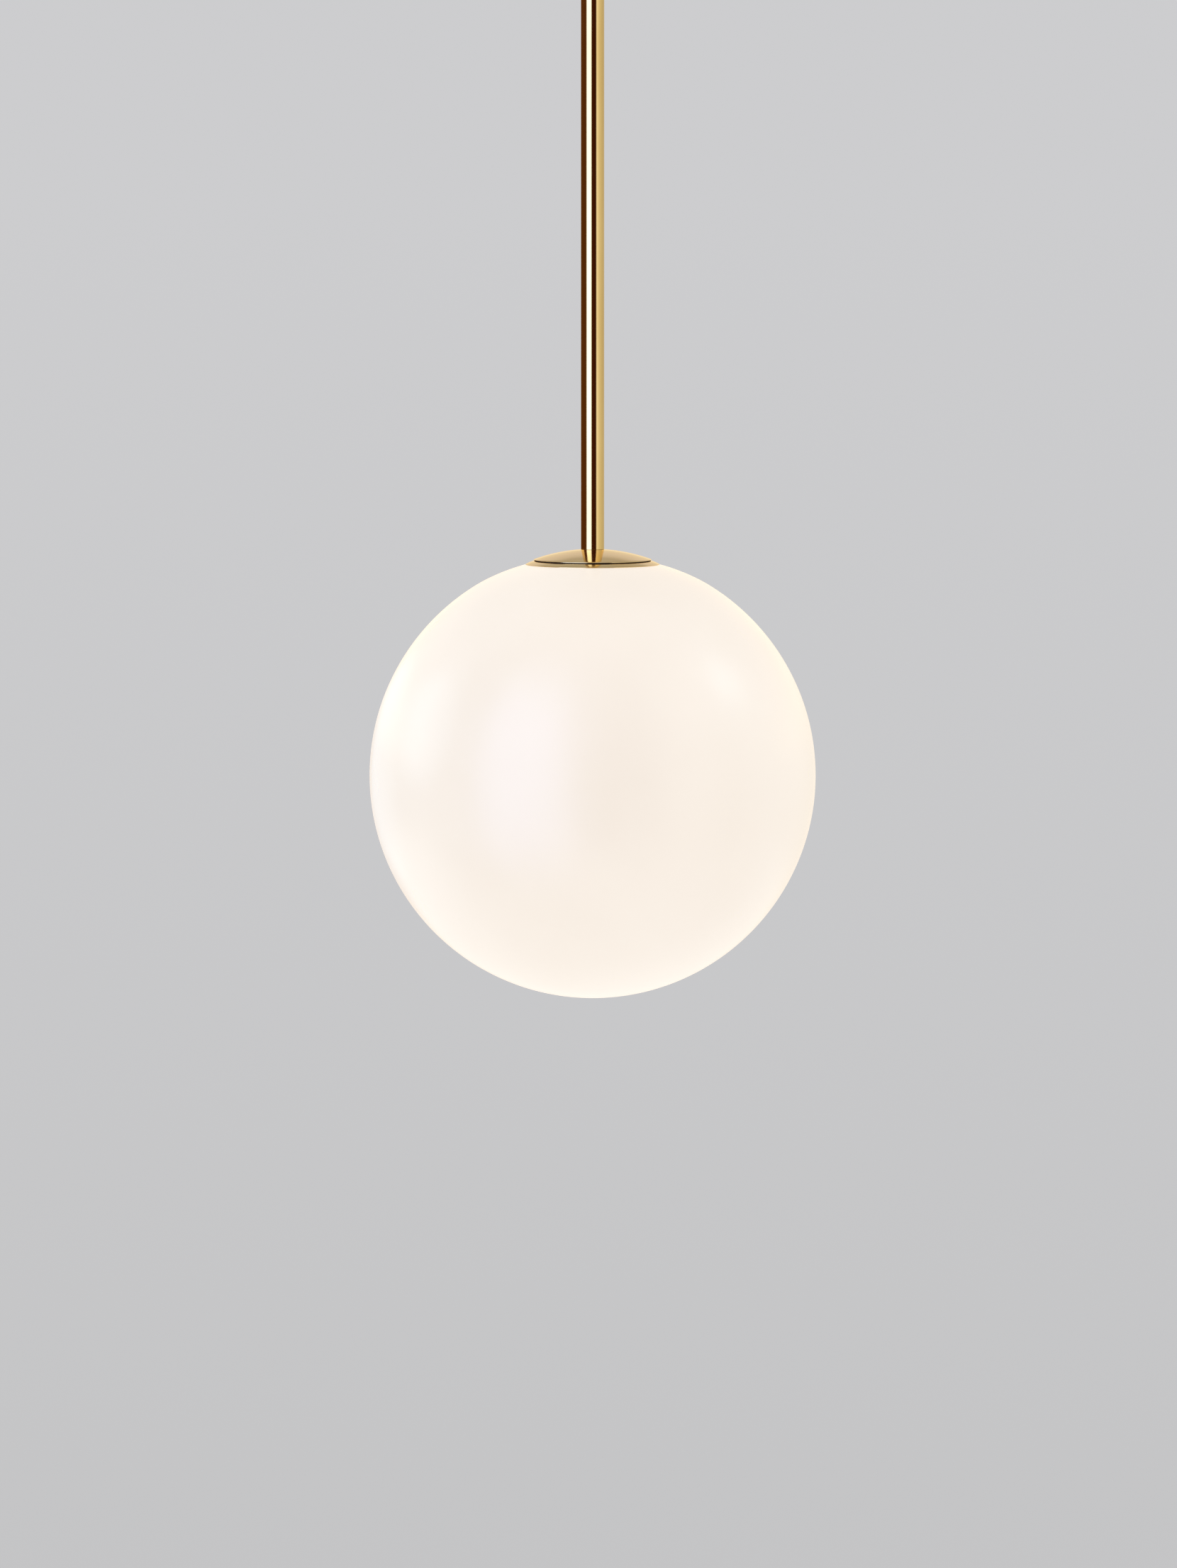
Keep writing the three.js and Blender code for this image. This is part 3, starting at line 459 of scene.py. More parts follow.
brass_light = (0.92, 0.69, 0.31)
brass_dark = (0.85, 0.61, 0.25)
canopy_brass = spun_brass("canopy_brass", brass_light, brass_dark, (0.10, 0.22), 2e-5)
canopy_foot, canopy_top = levels("canopy_cup")
canopy_radius = 60
canopy_hole = 14.1
canopy_corner = 5
canopy_sheet = 1.2
canopy_inside = canopy_radius - canopy_sheet
canopy_floor = canopy_foot + canopy_sheet
canopy_corners = [
    (canopy_radius, canopy_top, 0.3), (canopy_radius, canopy_foot, canopy_corner),
    (canopy_hole, canopy_foot, 0.3), (canopy_hole, canopy_floor, 0.3),
    (canopy_inside, canopy_floor, canopy_corner - canopy_sheet), (canopy_inside, canopy_top, 0.3),
]
spin("canopy_spun", canopy_corners, canopy_brass, "ceiling_mount", "canopy_cup", sides=192)


# ---- Canopy screws
# Two brass thumb screws with knurled heads. They go through the canopy's wall into the strap's tabs.
def knurl(ridges, depth, length, radius):
    """Ridges along the side of a head."""
    def cut_ridges(turn, r, z):
        if r < radius - 0.05 or z > length:
            return 0
        return -depth * (0.5 + 0.5 * math.cos(turn * ridges))
    return cut_ridges


def laid(piece, place, angle, axis):
    """Turns an upright piece over about its foot and puts the foot in its place."""
    piece.data.transform(Matrix.Translation(place) @ Matrix.Rotation(angle, 4, axis))


screw_brass = spun_brass("screw_brass", brass_light, (0.82, 0.58, 0.24), (0.14, 0.30), 2e-5)
thumb_radius = 3.95
thumb_length = 2.95
thumb_shank = 2.0
for number, side in (("1", 1), ("2", -1)):
    node = "canopy_screw_" + number
    low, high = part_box(node)
    length = (high.x - low.x) / mm
    thumb_corners = [
        (0, 0), (2.6, 0.25, 0.6), (thumb_radius, 0.9, 0.5), (thumb_radius, thumb_length, 0.2),
        (thumb_shank, thumb_length, 0.1), (thumb_shank, length - 0.4, 0.2),
        (thumb_shank - 0.4, length, 0.1), (0, length)]
    screw = spin("canopy_thumb_screw_" + number, thumb_corners, screw_brass, "ceiling_mount",
                 node, closed=False, sides=120, shape=knurl(30, 0.28, 2.6, 3.9), pitch=0.4)
    place = Vector((high.x if side > 0 else low.x, 0, (low.z + high.z) / 2))
    laid(screw, place, -side * math.pi / 2, "Y")


# ---- Terminal block
# A white nylon block under the strap's ear, with three poles. Each pole has two brass screws that
# clamp the wires, and one steel screw holds the block.
def moulded(name, light, dark, rough, dimples=0.05):
    return mottled(name, light, dark, (60, 4), (180, 4), rough, (1400, 3, dimples, 0.0001))


def plated(name, light, dark, rough):
    return mottled(name, light, dark, (240, 4), (420, 4), rough, (2600, 2, 0.1, 5e-5), metal=1.0)


def peg(radius, foot, top, edge=0.3):
    """The profile of a plain solid pin."""
    return [(0, foot), (radius, foot, edge), (radius, top, edge), (0, top)]


def slot_cut(piece, width, depth, centre, along="X"):
    """Cuts a screwdriver slot across a head whose face looks down."""
    length = 20
    across = (length, width) if along == "X" else (width, length)
    cutter = placed("slot_cutter", bpy.data.meshes.new("slot_cutter"))
    work = bmesh.new()
    bmesh.ops.create_cube(work, size=1)
    bmesh.ops.scale(work, vec=(across[0] * mm, across[1] * mm, 2 * depth * mm), verts=work.verts)
    bmesh.ops.translate(work, vec=centre, verts=work.verts)
    work.to_mesh(cutter.data)
    work.free()
    cut = piece.modifiers.new("slot", "BOOLEAN")
    cut.object = cutter
    cut.solver = "EXACT"
    graph = bpy.context.evaluated_depsgraph_get()
    mesh = bpy.data.meshes.new_from_object(piece.evaluated_get(graph))
    work = bmesh.new()
    work.from_mesh(mesh)
    without_slivers(work)
    work.to_mesh(mesh)
    work.free()
    piece.modifiers.clear()
    piece.data = mesh
    bpy.data.objects.remove(cutter)
    mesh.shade_smooth()
    mesh.set_sharp_from_angle(angle=crease)


def upright_screw(name, node, finish, head=0, head_thick=0, along="X"):
    """A slotted screw with its head down, or without a head."""
    shank = 1.7
    low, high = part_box(node)
    centre = Vector(((low.x + high.x) / 2, (low.y + high.y) / 2, low.z))
    length = (high.z - low.z) / mm
    corners = peg(shank, 0, length)
    if head:
        corners = [(0, 0), (head, 0, 0.5), (head, head_thick, 0.2), (shank, head_thick, 0.1),
                   (shank, length - 0.4, 0.1), (shank - 0.4, length, 0.1), (0, length)]
    screw = spin(name, corners, finish, "ceiling_mount", node, closed=False, sides=48, centre=centre)
    slot_cut(screw, width=0.7, depth=0.7, centre=centre, along=along)


block_nylon = moulded("block_nylon", (0.88, 0.88, 0.86), (0.82, 0.82, 0.79), (0.38, 0.5))
raw_brass = plated("raw_brass", (0.80, 0.60, 0.28), (0.66, 0.47, 0.20), (0.26, 0.42))
bright_steel = plated("bright_steel", (0.74, 0.74, 0.74), (0.62, 0.62, 0.63), (0.14, 0.26))
softened("terminal_block", "terminal_block_moulded", "ceiling_mount", block_nylon, 0.5)
for number in range(1, 7):
    upright_screw("clamp_screw_" + str(number), "terminal_screw_" + str(number), raw_brass,
                  along="X" if number % 3 else "Y")
upright_screw("block_fixing_screw", "block_screw", bright_steel, 2.6, 2.2)


# ---- Earth screw, tag and lead
# The house's earth goes from the terminal block to a brass ring tag, screwed to the strap.
def band(inner, outer, foot, top, edges):
    """The profile of a plain ring. The edges' roundings go from its inner foot round to its inner top."""
    corners = ((inner, foot), (outer, foot), (outer, top), (inner, top))
    return [(r, z, edge) for (r, z), edge in zip(corners, edges)]


def insulation(name, light, dark, stripe=None):
    """Soft plastic insulation; a stripe colour winds it in two colours, as on an earth core."""
    finish, tree, shader = new_finish(name)
    colour = tone(tree, grain(tree, 120, 3), dark, light)
    if stripe:
        place = tree.nodes.new("ShaderNodeTexCoord")
        bands = tree.nodes.new("ShaderNodeTexWave")
        bands.inputs["Scale"].default_value = 90
        bands.bands_direction = "DIAGONAL"
        tree.links.new(place.outputs["Object"], bands.inputs["Vector"])
        choose = tree.nodes.new("ShaderNodeMix")
        choose.data_type = "RGBA"
        choose.inputs["B"].default_value = (*stripe, 1)
        tree.links.new(between(tree, bands.outputs["Fac"], 0, 1, 0.45, 0.55), choose.inputs["Factor"])
        tree.links.new(colour, choose.inputs["A"])
        colour = choose.outputs["Result"]
    tree.links.new(colour, shader.inputs["Base Color"])
    tree.links.new(between(tree, grain(tree, 400, 3), 0.42, 0.58), shader.inputs["Roughness"])
    relief(tree, shader, grain(tree, 1500, 2), 0.06, 0.0001)
    return finish


def wire(name, node, finish, body, points, radius):
    """A wire drawn through points in millimetres as a smooth round tube with closed ends."""
    path = bpy.data.curves.new(name, "CURVE")
    path.dimensions = "3D"
    path.bevel_depth = radius * mm
    path.bevel_resolution = 6
    path.use_fill_caps = True
    path.resolution_u = 16
    spline = path.splines.new("BEZIER")
    spline.bezier_points.add(len(points) - 1)
    for knot, point in zip(spline.bezier_points, points):
        knot.co = [v * mm for v in point]
        knot.handle_left_type = knot.handle_right_type = "AUTO"
    drawn = placed(name, path)
    graph = bpy.context.evaluated_depsgraph_get()
    mesh = bpy.data.meshes.new_from_object(drawn.evaluated_get(graph))
    bpy.data.objects.remove(drawn)
    work = bmesh.new()
    work.from_mesh(mesh)
    bmesh.ops.remove_doubles(work, verts=work.verts, dist=1e-7)
    work.to_mesh(mesh)
    work.free()
    piece = placed(name, mesh)
    mesh.materials.clear()
    mesh.materials.append(finish)
    for face in mesh.polygons:
        face.use_smooth = True
        face.material_index = 0
    mesh.set_sharp_from_angle(angle=math.radians(40))
    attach(piece, body)
    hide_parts(node)


tag_low, tag_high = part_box("earth_tag")
tag_profile = band(2.0, 4.2, -0.4, 0.4, (0.1, 0.15, 0.15, 0.1))
spin("earth_ring_tag", tag_profile, raw_brass, "ceiling_mount", "earth_tag", sides=64,
     centre=(tag_low + tag_high) / 2)
upright_screw("earth_fixing_screw", "earth_screw", bright_steel, 3.6, 2.2, "Y")
earth_insulation = insulation("earth_insulation", (0.16, 0.42, 0.07), (0.12, 0.35, 0.05),
                              stripe=(0.85, 0.75, 0.06))
wire_level = -10.05
core_radius = 0.85
earth_way = [(9, 34, wire_level), (9, 40, wire_level), (16, 42, wire_level + 1), (19, 29, -7.5),
             (18, 14, -5.5), (14, 5.9, -3.4)]
wire("earth_bond", "earth_lead", earth_insulation, "ceiling_mount", earth_way, core_radius)


# ---- Cores of the flex
# Brown, blue, and green with yellow: they leave the flex's end and go into the block's three poles.
brown_insulation = insulation("brown_insulation", (0.26, 0.12, 0.06), (0.20, 0.09, 0.045))
blue_insulation = insulation("blue_insulation", (0.06, 0.22, 0.60), (0.045, 0.17, 0.50))
cores = (("live", brown_insulation, "core_brown"), ("neutral", blue_insulation, "core_blue"),
         ("earth", earth_insulation, "core_green"))
for side, (kind, finish, slot) in zip((-1, 0, 1), cores):
    core_way = [(side * 2.0, 12.3, wire_level), (side * 2.8, 13.8, wire_level),
                (side * 9, 18.5, wire_level), (side * 9, 26, wire_level)]
    wire("flex_core_" + kind, "core_" + kind, finish, "ceiling_mount", core_way, core_radius)


# ---- Swivel housing, stop pin and bushing
# A turned steel cup, flanged inside the canopy, with its threaded nose through the canopy's hole. A
# pin in its wall stops the swivel after most of a turn, and a nylon bushing guards the flex.
def helix(pitch, depth, low, high, wall, entry=False):
    """A right-hand thread that moves the wall at one radius by up to depth and fades at its ends. With
    an entry its lower end is turned down instead, so that it enters its partner."""
    fade = pitch * 0.6

    def thread(turn, r, z):
        if not low < z < high or abs(r - wall) > 0.02:
            return 0
        wave = 0.5 - 0.5 * math.cos(math.tau * z / pitch - turn)
        start = min(1, (z - low) / fade)
        wave = max(wave, 1 - start) if entry else wave * start
        return depth * wave * min(1, (high - z) / fade)
    return thread


ball_level = -33.0
swivel_centre = (0, 0, ball_level * mm)
nose_radius = 13.8
nose_foot = -4.87
flange_radius = 18.8
flange_foot = 6.25
flange_top = 9.25
housing_bore = 12.6
housing_roof = 11.5
housing_top = 13.0
housing_hole = 6.0
housing_zinc = zinc_plate("housing_zinc")
housing_corners = [
    (housing_bore, nose_foot, 0.2), (nose_radius, nose_foot, 0.4), (nose_radius, flange_foot, 0),
    (flange_radius, flange_foot, 0.3), (flange_radius, flange_top, 0.5), (nose_radius, flange_top, 0.4),
    (nose_radius, housing_top, 0.6), (housing_hole, housing_top, 0.3), (housing_hole, housing_roof, 0.3),
    (housing_bore, housing_roof, 0.6)]
spin("swivel_cup", housing_corners, housing_zinc, "ceiling_mount", "swivel_housing",
     sides=120, centre=swivel_centre, shape=helix(1.5, -0.5, -4.8, 6.0, nose_radius), pitch=0.25)

pin_low, pin_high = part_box("stop_pin")
stop = spin("swivel_stop_pin", peg(1, 0, (pin_high.y - pin_low.y) / mm), bright_steel, "ceiling_mount",
            "stop_pin", closed=False, sides=32)
laid(stop, Vector((0, pin_low.y, (pin_low.z + pin_high.z) / 2)), -math.pi / 2, "X")

guard_hole = 3.3
guard_neck = 5.7
guard_radius = 8.0
guard_seat = housing_top + 0.05
guard_top = 14.2
nylon = moulded("natural_nylon", (0.84, 0.81, 0.73), (0.78, 0.75, 0.66), (0.36, 0.5))
guard_corners = [
    (guard_hole, housing_roof, 0.4), (guard_neck, housing_roof, 0.2), (guard_neck, guard_seat, 0),
    (guard_radius, guard_seat, 0.2), (guard_radius, guard_top, 0.5), (guard_hole, guard_top, 0.6)]
spin("flex_guard", guard_corners, nylon, "ceiling_mount", "flex_bushing", sides=64,
     centre=swivel_centre)


# ---- Swivel collar
# A polished brass collar, screwed up on the housing's nose so that the canopy is gripped between
# them. Its inner lip carries the seat and is wide enough for the ball's neck to tilt in.
collar_radius = 16.8
collar_bore = 14.1
collar_foot = -7.87
collar_top = 4.95
lip_hole = 8.5
lip_top = collar_foot + 2
collar_brass = spun_brass("collar_brass", brass_light, brass_dark, (0.09, 0.20), 2e-5)
collar_corners = [
    (lip_hole, collar_foot, 0.3), (collar_radius, collar_foot, 1.2), (collar_radius, collar_top, 0.35),
    (collar_bore, collar_top, 0.3), (collar_bore, lip_top, 0.2), (lip_hole, lip_top, 0.3)]
spin("swivel_collar_turned", collar_corners, collar_brass, "ceiling_mount", "swivel_collar",
     sides=144, centre=swivel_centre)


# ---- Swivel seat
# A nylon cup that turns in the housing. Two slots, open at the top, take the ends of the ball's
# cross pin, and a lug on its rim meets the stop pin.
seat_nylon = moulded("seat_nylon", (0.86, 0.84, 0.78), (0.80, 0.77, 0.70), (0.34, 0.48))
softened("swivel_seat", "swivel_seat_moulded", "swivel_seat", seat_nylon, 0.2)


# ---- Ball, neck and cross pin
# A bored steel ball on a threaded neck, which the rod screws on. Short pins in its sides leave the
# bore free for the flex.
ball_radius = 10
neck_radius = 4.7
neck_foot = -24
bore_radius = 3.6
ball_steel = plated("ball_steel", (0.78, 0.77, 0.75), (0.70, 0.69, 0.67), (0.08, 0.16))
neck_angle = -math.acos(neck_radius / ball_radius)
bore_angle = math.acos(bore_radius / ball_radius)
ball_corners = [(bore_radius, neck_foot, 0.2), (neck_radius, neck_foot, 0.4)]
for angle in [neck_angle + (bore_angle - neck_angle) * k / 32 for k in range(33)]:
    ball_corners.append((ball_radius * math.cos(angle), ball_radius * math.sin(angle)))
spin("swivel_ball_and_neck", ball_corners, ball_steel, "drop", "swivel_ball", sides=96,
     centre=swivel_centre, shape=helix(1.0, -0.3, -23.8, -14.2, neck_radius), pitch=0.2)
for number in ("1", "2"):
    node = "cross_pin_" + number
    low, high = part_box(node)
    pin = spin("ball_pin_" + number, peg(1.5, 0, (high.x - low.x) / mm), bright_steel, "drop",
               node, closed=False, sides=40)
    laid(pin, Vector((low.x, 0, ball_level * mm)), math.pi / 2, "Y")


# ---- Rod
# A drawn brass tube, 13 mm across, polished lengthwise and lacquered, with broken edges at both ends.
def drawn_brass(name):
    finish, tree, shader = new_finish(name)
    shader.inputs["Metallic"].default_value = 1.0
    streaks = grain(tree, 900, 4, (1, 1, 0.012))
    patches = grain(tree, 36, 5, (1, 1, 0.25), 0.6)
    smears = grain(tree, 55, 6, (1, 1, 0.6), 0.65)
    colour = tone(tree, patches, (0.86, 0.61, 0.25), (0.93, 0.69, 0.31), 0.3, 0.6)
    wear = arithmetic(tree, "MULTIPLY", streaks, smears)
    tree.links.new(colour, shader.inputs["Base Color"])
    tree.links.new(between(tree, wear, 0.04, 0.10, 0.1, 0.42), shader.inputs["Roughness"])
    relief(tree, shader, streaks, 0.10, 1e-5)
    return finish


rod_radius = 6.5
rod_profile = band(5.0, rod_radius, *levels("rod"), (0.2, 0.12, 0.5, 0.3))
spin("rod_tube", rod_profile, drawn_brass("rod_brass"), "drop", "rod", sides=128)


# ---- Flex
# A round white flex of 6 mm. It comes from the terminal block, down through the swivel, and hangs
# straight in the rod to the lampholder.
flex_radius = 3.0
flex_sheath = insulation("flex_sheath", (0.80, 0.79, 0.74), (0.74, 0.73, 0.68))
flex_way = [(0, 0, -21), (0, 0, -18), (0, 1.2, -14.05), (0, 5.5, -10.65), (0, 12, wire_level)]
wire("flex_in_canopy", "flex_upper", flex_sheath, "ceiling_mount", flex_way, flex_radius)
flex_foot, flex_top = levels("flex_lower")
spin("flex_in_rod", peg(flex_radius - 0.02, flex_foot, flex_top), flex_sheath, "drop",
     "flex_lower", closed=False, sides=48)


# ---- Cap dome
# Spun brass, 66 mm across, rising 6 mm to the small flat that the rod stands on. Its rim is turned
# to a thin edge.
dome_radius = 33.0
dome_curve = 97.0
dome_hole = 5.3
cap_level = levels("cap_dome")[1]
dome_centre = cap_level - math.sqrt(dome_curve ** 2 - rod_radius ** 2)


def dome_skin(start, end, count, curve):
    """Points of the dome's outer or inner face between two radii."""
    radii = [start + (end - start) * k / count for k in range(count + 1)]
    return [(r, dome_centre + math.sqrt(curve ** 2 - r ** 2)) for r in radii]


dome_edge = dome_centre + math.sqrt(dome_curve ** 2 - dome_radius ** 2)
dome_rim = dome_edge - 0.3
dome_inside = dome_curve - 1.2
inside_edge = math.sqrt(dome_inside ** 2 - (dome_rim - dome_centre) ** 2)
dome_corners = [
    (dome_hole, cap_level), *dome_skin(rod_radius, dome_radius - 0.25, 28, dome_curve),
    (dome_radius - 0.06, dome_edge - 0.05), (dome_radius, dome_edge - 0.13), (dome_radius, dome_rim, 0.08),
    *dome_skin(inside_edge, dome_hole, 16, dome_inside)]
dome_brass = spun_brass("dome_brass", (0.94, 0.73, 0.41), (0.90, 0.68, 0.36), (0.05, 0.12), 1e-5)
spin("cap_dome_spun", dome_corners, dome_brass, "drop", "cap_dome", sides=192)


# ---- Fitter, washer, nut and nipple
# Inside the cap a hollow nipple ties it all together: it is screwed up into the rod and holds the
# fitter, the cup whose thread the globe screws on, with a washer and a nut.
globe_pitch = 2.0
fitter_radius = 30.7
fitter_bore = 28.7
fitter_entry = 30.0
fitter_foot, fitter_top = levels("cap_fitter")
fitter_roof = fitter_top - 2.5
fitter_corners = [
    (dome_hole, fitter_top, 0.2), (fitter_radius, fitter_top, 0.5), (fitter_radius, fitter_foot + 1.12),
    (fitter_entry, fitter_foot + 1.1), (fitter_entry, fitter_foot, 0.4), (fitter_bore, fitter_foot, 0.3),
    (fitter_bore, fitter_roof, 1.5), (dome_hole, fitter_roof, 0.2)]
fitter_thread = helix(globe_pitch, -0.7, fitter_foot + 1.1, fitter_top - 2.2, fitter_radius, entry=True)
spin("fitter_cup", fitter_corners, raw_brass, "drop", "cap_fitter", sides=160,
     shape=fitter_thread, pitch=0.3)

washer_profile = band(dome_hole, 10, *levels("cap_washer"), (0.15, 0.2, 0.2, 0.15))
spin("fitter_washer", washer_profile, strap_zinc, "drop", "cap_washer", sides=80)
softened("cap_nut", "fitter_nut", "drop", raw_brass, 0.35)

nipple_foot, nipple_top = levels("cap_nipple")
nipple_profile = band(bore_radius, neck_radius, nipple_foot, nipple_top, (0.2, 0.4, 0.4, 0.2))
spin("fitter_nipple", nipple_profile, raw_brass, "drop", "cap_nipple", sides=64,
     shape=helix(1.0, -0.3, nipple_foot, nipple_top, neck_radius), pitch=0.2)


# ---- Globe ring, bond and seal
# A turned brass ring with a thin lip over the glass's edge and a threaded neck in its mouth, bonded
# in with silicone. A dark seal lies between the ring and the dome; its near-black is partly painted shade
# for the gap under the dome's rim.
ring_bore = 31.0
ring_neck = 34.2
ring_radius = 37.5
mouth_radius = 35.4
ring_foot, ring_top = levels("globe_ring")


def flattening(r):
    """How far the glass is pressed down round its mouth, fading out 28 mm from the ring's edge."""
    share = max(0, ring_radius + 28 - r) / 28
    return 1.2 * (math.hypot(share, 0.15) - 0.15)


def ring_height(r):
    """The ring's crown outside the dome's rim: gently sloped at first, steep at its edge."""
    out = r - dome_radius
    return ring_top - 0.25 * out - 0.0389 * out ** 2


globe_level = globe_middle / mm
mouth_level = globe_level + math.sqrt(globe_radius ** 2 - mouth_radius ** 2) - flattening(mouth_radius)
lip_level = mouth_level + 0.05
crown = [dome_radius + out for out in (0.7, 1.4, 2.1, 2.8, 3.5, 4.1)]
ring_corners = [
    (ring_bore, ring_top, 0.1), (dome_radius, ring_top, 0.1), *[(r, ring_height(r)) for r in crown],
    (ring_radius, ring_height(ring_radius), 0.1), (ring_radius, ring_top - 2.1, 0.08),
    (mouth_radius, lip_level), (ring_neck, lip_level, 0.1), (ring_neck, ring_foot, 0.4),
    (ring_bore, ring_foot, 0.4)]
ring_brass = spun_brass("ring_brass", (0.94, 0.73, 0.41), (0.89, 0.67, 0.35), (0.07, 0.15), 1e-5)
spin("globe_ring_turned", ring_corners, ring_brass, "globe", "globe_ring", sides=192,
     shape=helix(globe_pitch, -0.6, ring_foot + 0.6, ring_top - 1.6, ring_bore), pitch=0.3)

bond_profile = band(ring_neck + 0.05, mouth_radius - 0.05, *levels("globe_bond"), (0.3, 0.3, 0.1, 0.1))
bond_silicone = moulded("bond_silicone", (0.80, 0.79, 0.76), (0.72, 0.71, 0.68), (0.45, 0.6))
spin("globe_bond_ring", bond_profile, bond_silicone, "globe", "globe_bond", sides=160)

seal_profile = band(ring_bore, 32.6, *levels("seal_ring"), (0.1, 0.15, 0.15, 0.1))
# The seal's near-black is the rubber's own colour and also painted shade for the gap under the dome's rim.
seal_rubber = moulded("seal_rubber", (0.045, 0.030, 0.018), (0.030, 0.020, 0.012), (0.5, 0.65))
spin("globe_seal_ring", seal_profile, seal_rubber, "globe_seal", "seal_ring", sides=160)


# ---- Globe
# Blown opal glass, 250 mm across and about 3 mm thick, slightly flattened round its ground mouth. The
# light of the lamp inside is painted on as an even warm glow. Its skin is smooth with the faint unevenness
# of blown glass.
def opal_glass():
    finish, tree, shader = new_finish("opal_glass")
    clouds = grain(tree, 9, 4, (1, 1, 0.8), 0.5)
    colour = tone(tree, clouds, (0.80, 0.775, 0.745), (0.86, 0.84, 0.815), 0.3, 0.7)
    tree.links.new(colour, shader.inputs["Base Color"])
    tree.links.new(between(tree, grain(tree, 26, 5), 0.26, 0.34), shader.inputs["Roughness"])
    relief(tree, shader, grain(tree, 14, 2), 0.05, 0.002)
    shader.inputs["IOR"].default_value = 1.5
    # Painted glow: the lamp's light through the glass is given as a warm emission, as the bulb doesn't
    # light it.
    shader.inputs["Emission Color"].default_value = (0.96, 0.80, 0.63, 1)
    shader.inputs["Emission Strength"].default_value = 0.46
    return finish


def glass_skin(radius, count):
    """Profile points of a sphere of the glass from its foot to its mouth."""
    edge = math.asin(mouth_radius / radius)
    skin = []
    for k in range(count + 1):
        angle = math.pi + (edge - math.pi) * k / count
        r = radius * math.sin(angle) if k else 0
        drop = flattening(r) if angle < math.pi / 2 else 0
        skin.append((r, globe_level + radius * math.cos(angle) - drop))
    return skin


glass_thick = 3
globe_profile = glass_skin(globe_radius, 120) + glass_skin(globe_radius - glass_thick, 90)[::-1]
globe = spin("globe_opal", globe_profile, opal_glass(), "globe", "globe_glass", closed=False,
             sides=192)
lit_glass.objects.link(globe)


# ---- Lampholder shell
# Black thermoset in two halves: a cap that screws on the nipple and is locked by a grub screw, and a
# ribbed skirt that screws to it. Both are pressed glossy, with a rounded shoulder.
holder_radius = 19.5
boss_radius = 9
boss_hole = 5.0
spigot_radius = 17.6
holder_bore = 16.0
holder_top = levels("holder_cap")[1]
holder_shoulder = holder_top - 6
holder_roof = holder_top - 9.5
holder_split = holder_top - 18
spigot_foot = holder_top - 24
holder_gloss = moulded("holder_gloss", (0.035, 0.034, 0.033), (0.022, 0.021, 0.020), (0.16, 0.26), 0.03)
holder_corners = [
    (boss_hole, holder_top, 0.3), (boss_radius, holder_top, 0.6), (boss_radius, holder_shoulder, 0.8),
    (holder_radius, holder_shoulder, 6), (holder_radius, holder_split, 0.4),
    (spigot_radius, holder_split, 0.2), (spigot_radius, spigot_foot, 0.4), (holder_bore, spigot_foot, 0.3),
    (holder_bore, holder_roof, 2.5), (boss_hole, holder_roof, 0.3)]
spin("holder_cap_pressed", holder_corners, holder_gloss, "drop", "holder_cap", sides=144)

lock_low, lock_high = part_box("holder_lock_screw")
lock_length = (lock_high.x - lock_low.x) / mm
lock_corners = [(0, 0), (0.9, 0, 0.1), (1.3, 0.5, 0.1), (1.3, lock_length, 0.2), (0, lock_length)]
lock = spin("holder_grub_screw", lock_corners, bright_steel, "drop", "holder_lock_screw",
            closed=False, sides=36)
slot_cut(lock, width=0.4, depth=0.6, centre=Vector((0, 0, lock_length * mm)))
laid(lock, Vector((lock_low.x, 0, (lock_low.z + lock_high.z) / 2)), math.pi / 2, "Y")

skirt_mouth = 14.3
skirt_bore = 17.9
skirt_foot, skirt_top = levels("holder_skirt")
skirt_lip = skirt_foot + 1.6
skirt_corners = [
    (holder_radius, skirt_top, 0.4), (holder_radius, skirt_foot, 1.2), (skirt_mouth, skirt_foot, 0.4),
    (skirt_mouth, skirt_lip, 0.2), (skirt_bore, skirt_lip, 0.5), (skirt_bore, skirt_top, 0.3)]


def skirt_ribs(turn, r, z):
    """Forty shallow grip ribs round the middle of the skirt."""
    if r < holder_radius - 0.1:
        return 0
    fade = max(0, min(1, (z - skirt_foot - 3) / 2, (skirt_top - 5 - z) / 2))
    return -0.45 * fade * (0.5 - 0.5 * math.cos(turn * 40)) ** 2


spin("holder_skirt_pressed", skirt_corners, holder_gloss, "drop", "holder_skirt", sides=320,
     shape=skirt_ribs, pitch=1.0)


# ---- Lampholder insert, threaded shell and plunger
# A glazed porcelain body carries the brass shell that the lamp screws into, and a round sprung
# plunger that touches the lamp's centre.
def glazed(name):
    specks = (300, 5)
    finish = mottled(name, (0.88, 0.87, 0.84), (0.80, 0.79, 0.75), specks, (80, 3), (0.10, 0.2),
                     (160, 2, 0.08, 0.0002))
    shader = finish.node_tree.nodes["Principled BSDF"]
    shader.inputs["Coat Weight"].default_value = 0.6
    shader.inputs["Coat Roughness"].default_value = 0.06
    return finish


insert_radius = 16.3
insert_bore = 14.3
insert_hole = 3.0
insert_foot, insert_top = levels("holder_insert")
insert_roof = insert_top - 6
insert_corners = [
    (insert_hole, insert_top, 0.4), (insert_radius, insert_top, 0.8), (insert_radius, insert_foot, 0.6),
    (insert_bore, insert_foot, 0.5), (insert_bore, insert_roof, 0.4), (insert_hole, insert_roof, 0.4)]
porcelain = glazed("porcelain_glaze")
spin("holder_porcelain", insert_corners, porcelain, "drop", "holder_insert", sides=112)

lamp_pitch = 3.62
lamp_thread_depth = 0.75
lamp_sheet = 0.6
shell_radius = 14.0
shell_hole = 10.4
shell_foot, shell_top = levels("holder_shell")


def shell_thread(turn, r, z):
    """The rolled round thread: the wall's two faces go in and out together."""
    if r < 12:
        return 0
    fade = max(0, min(1, (z - shell_foot - 0.6) / 1.5, (shell_top - 1.6 - z) / 1.5))
    return -lamp_thread_depth * fade * (0.5 - 0.5 * math.cos(math.tau * z / lamp_pitch - turn))


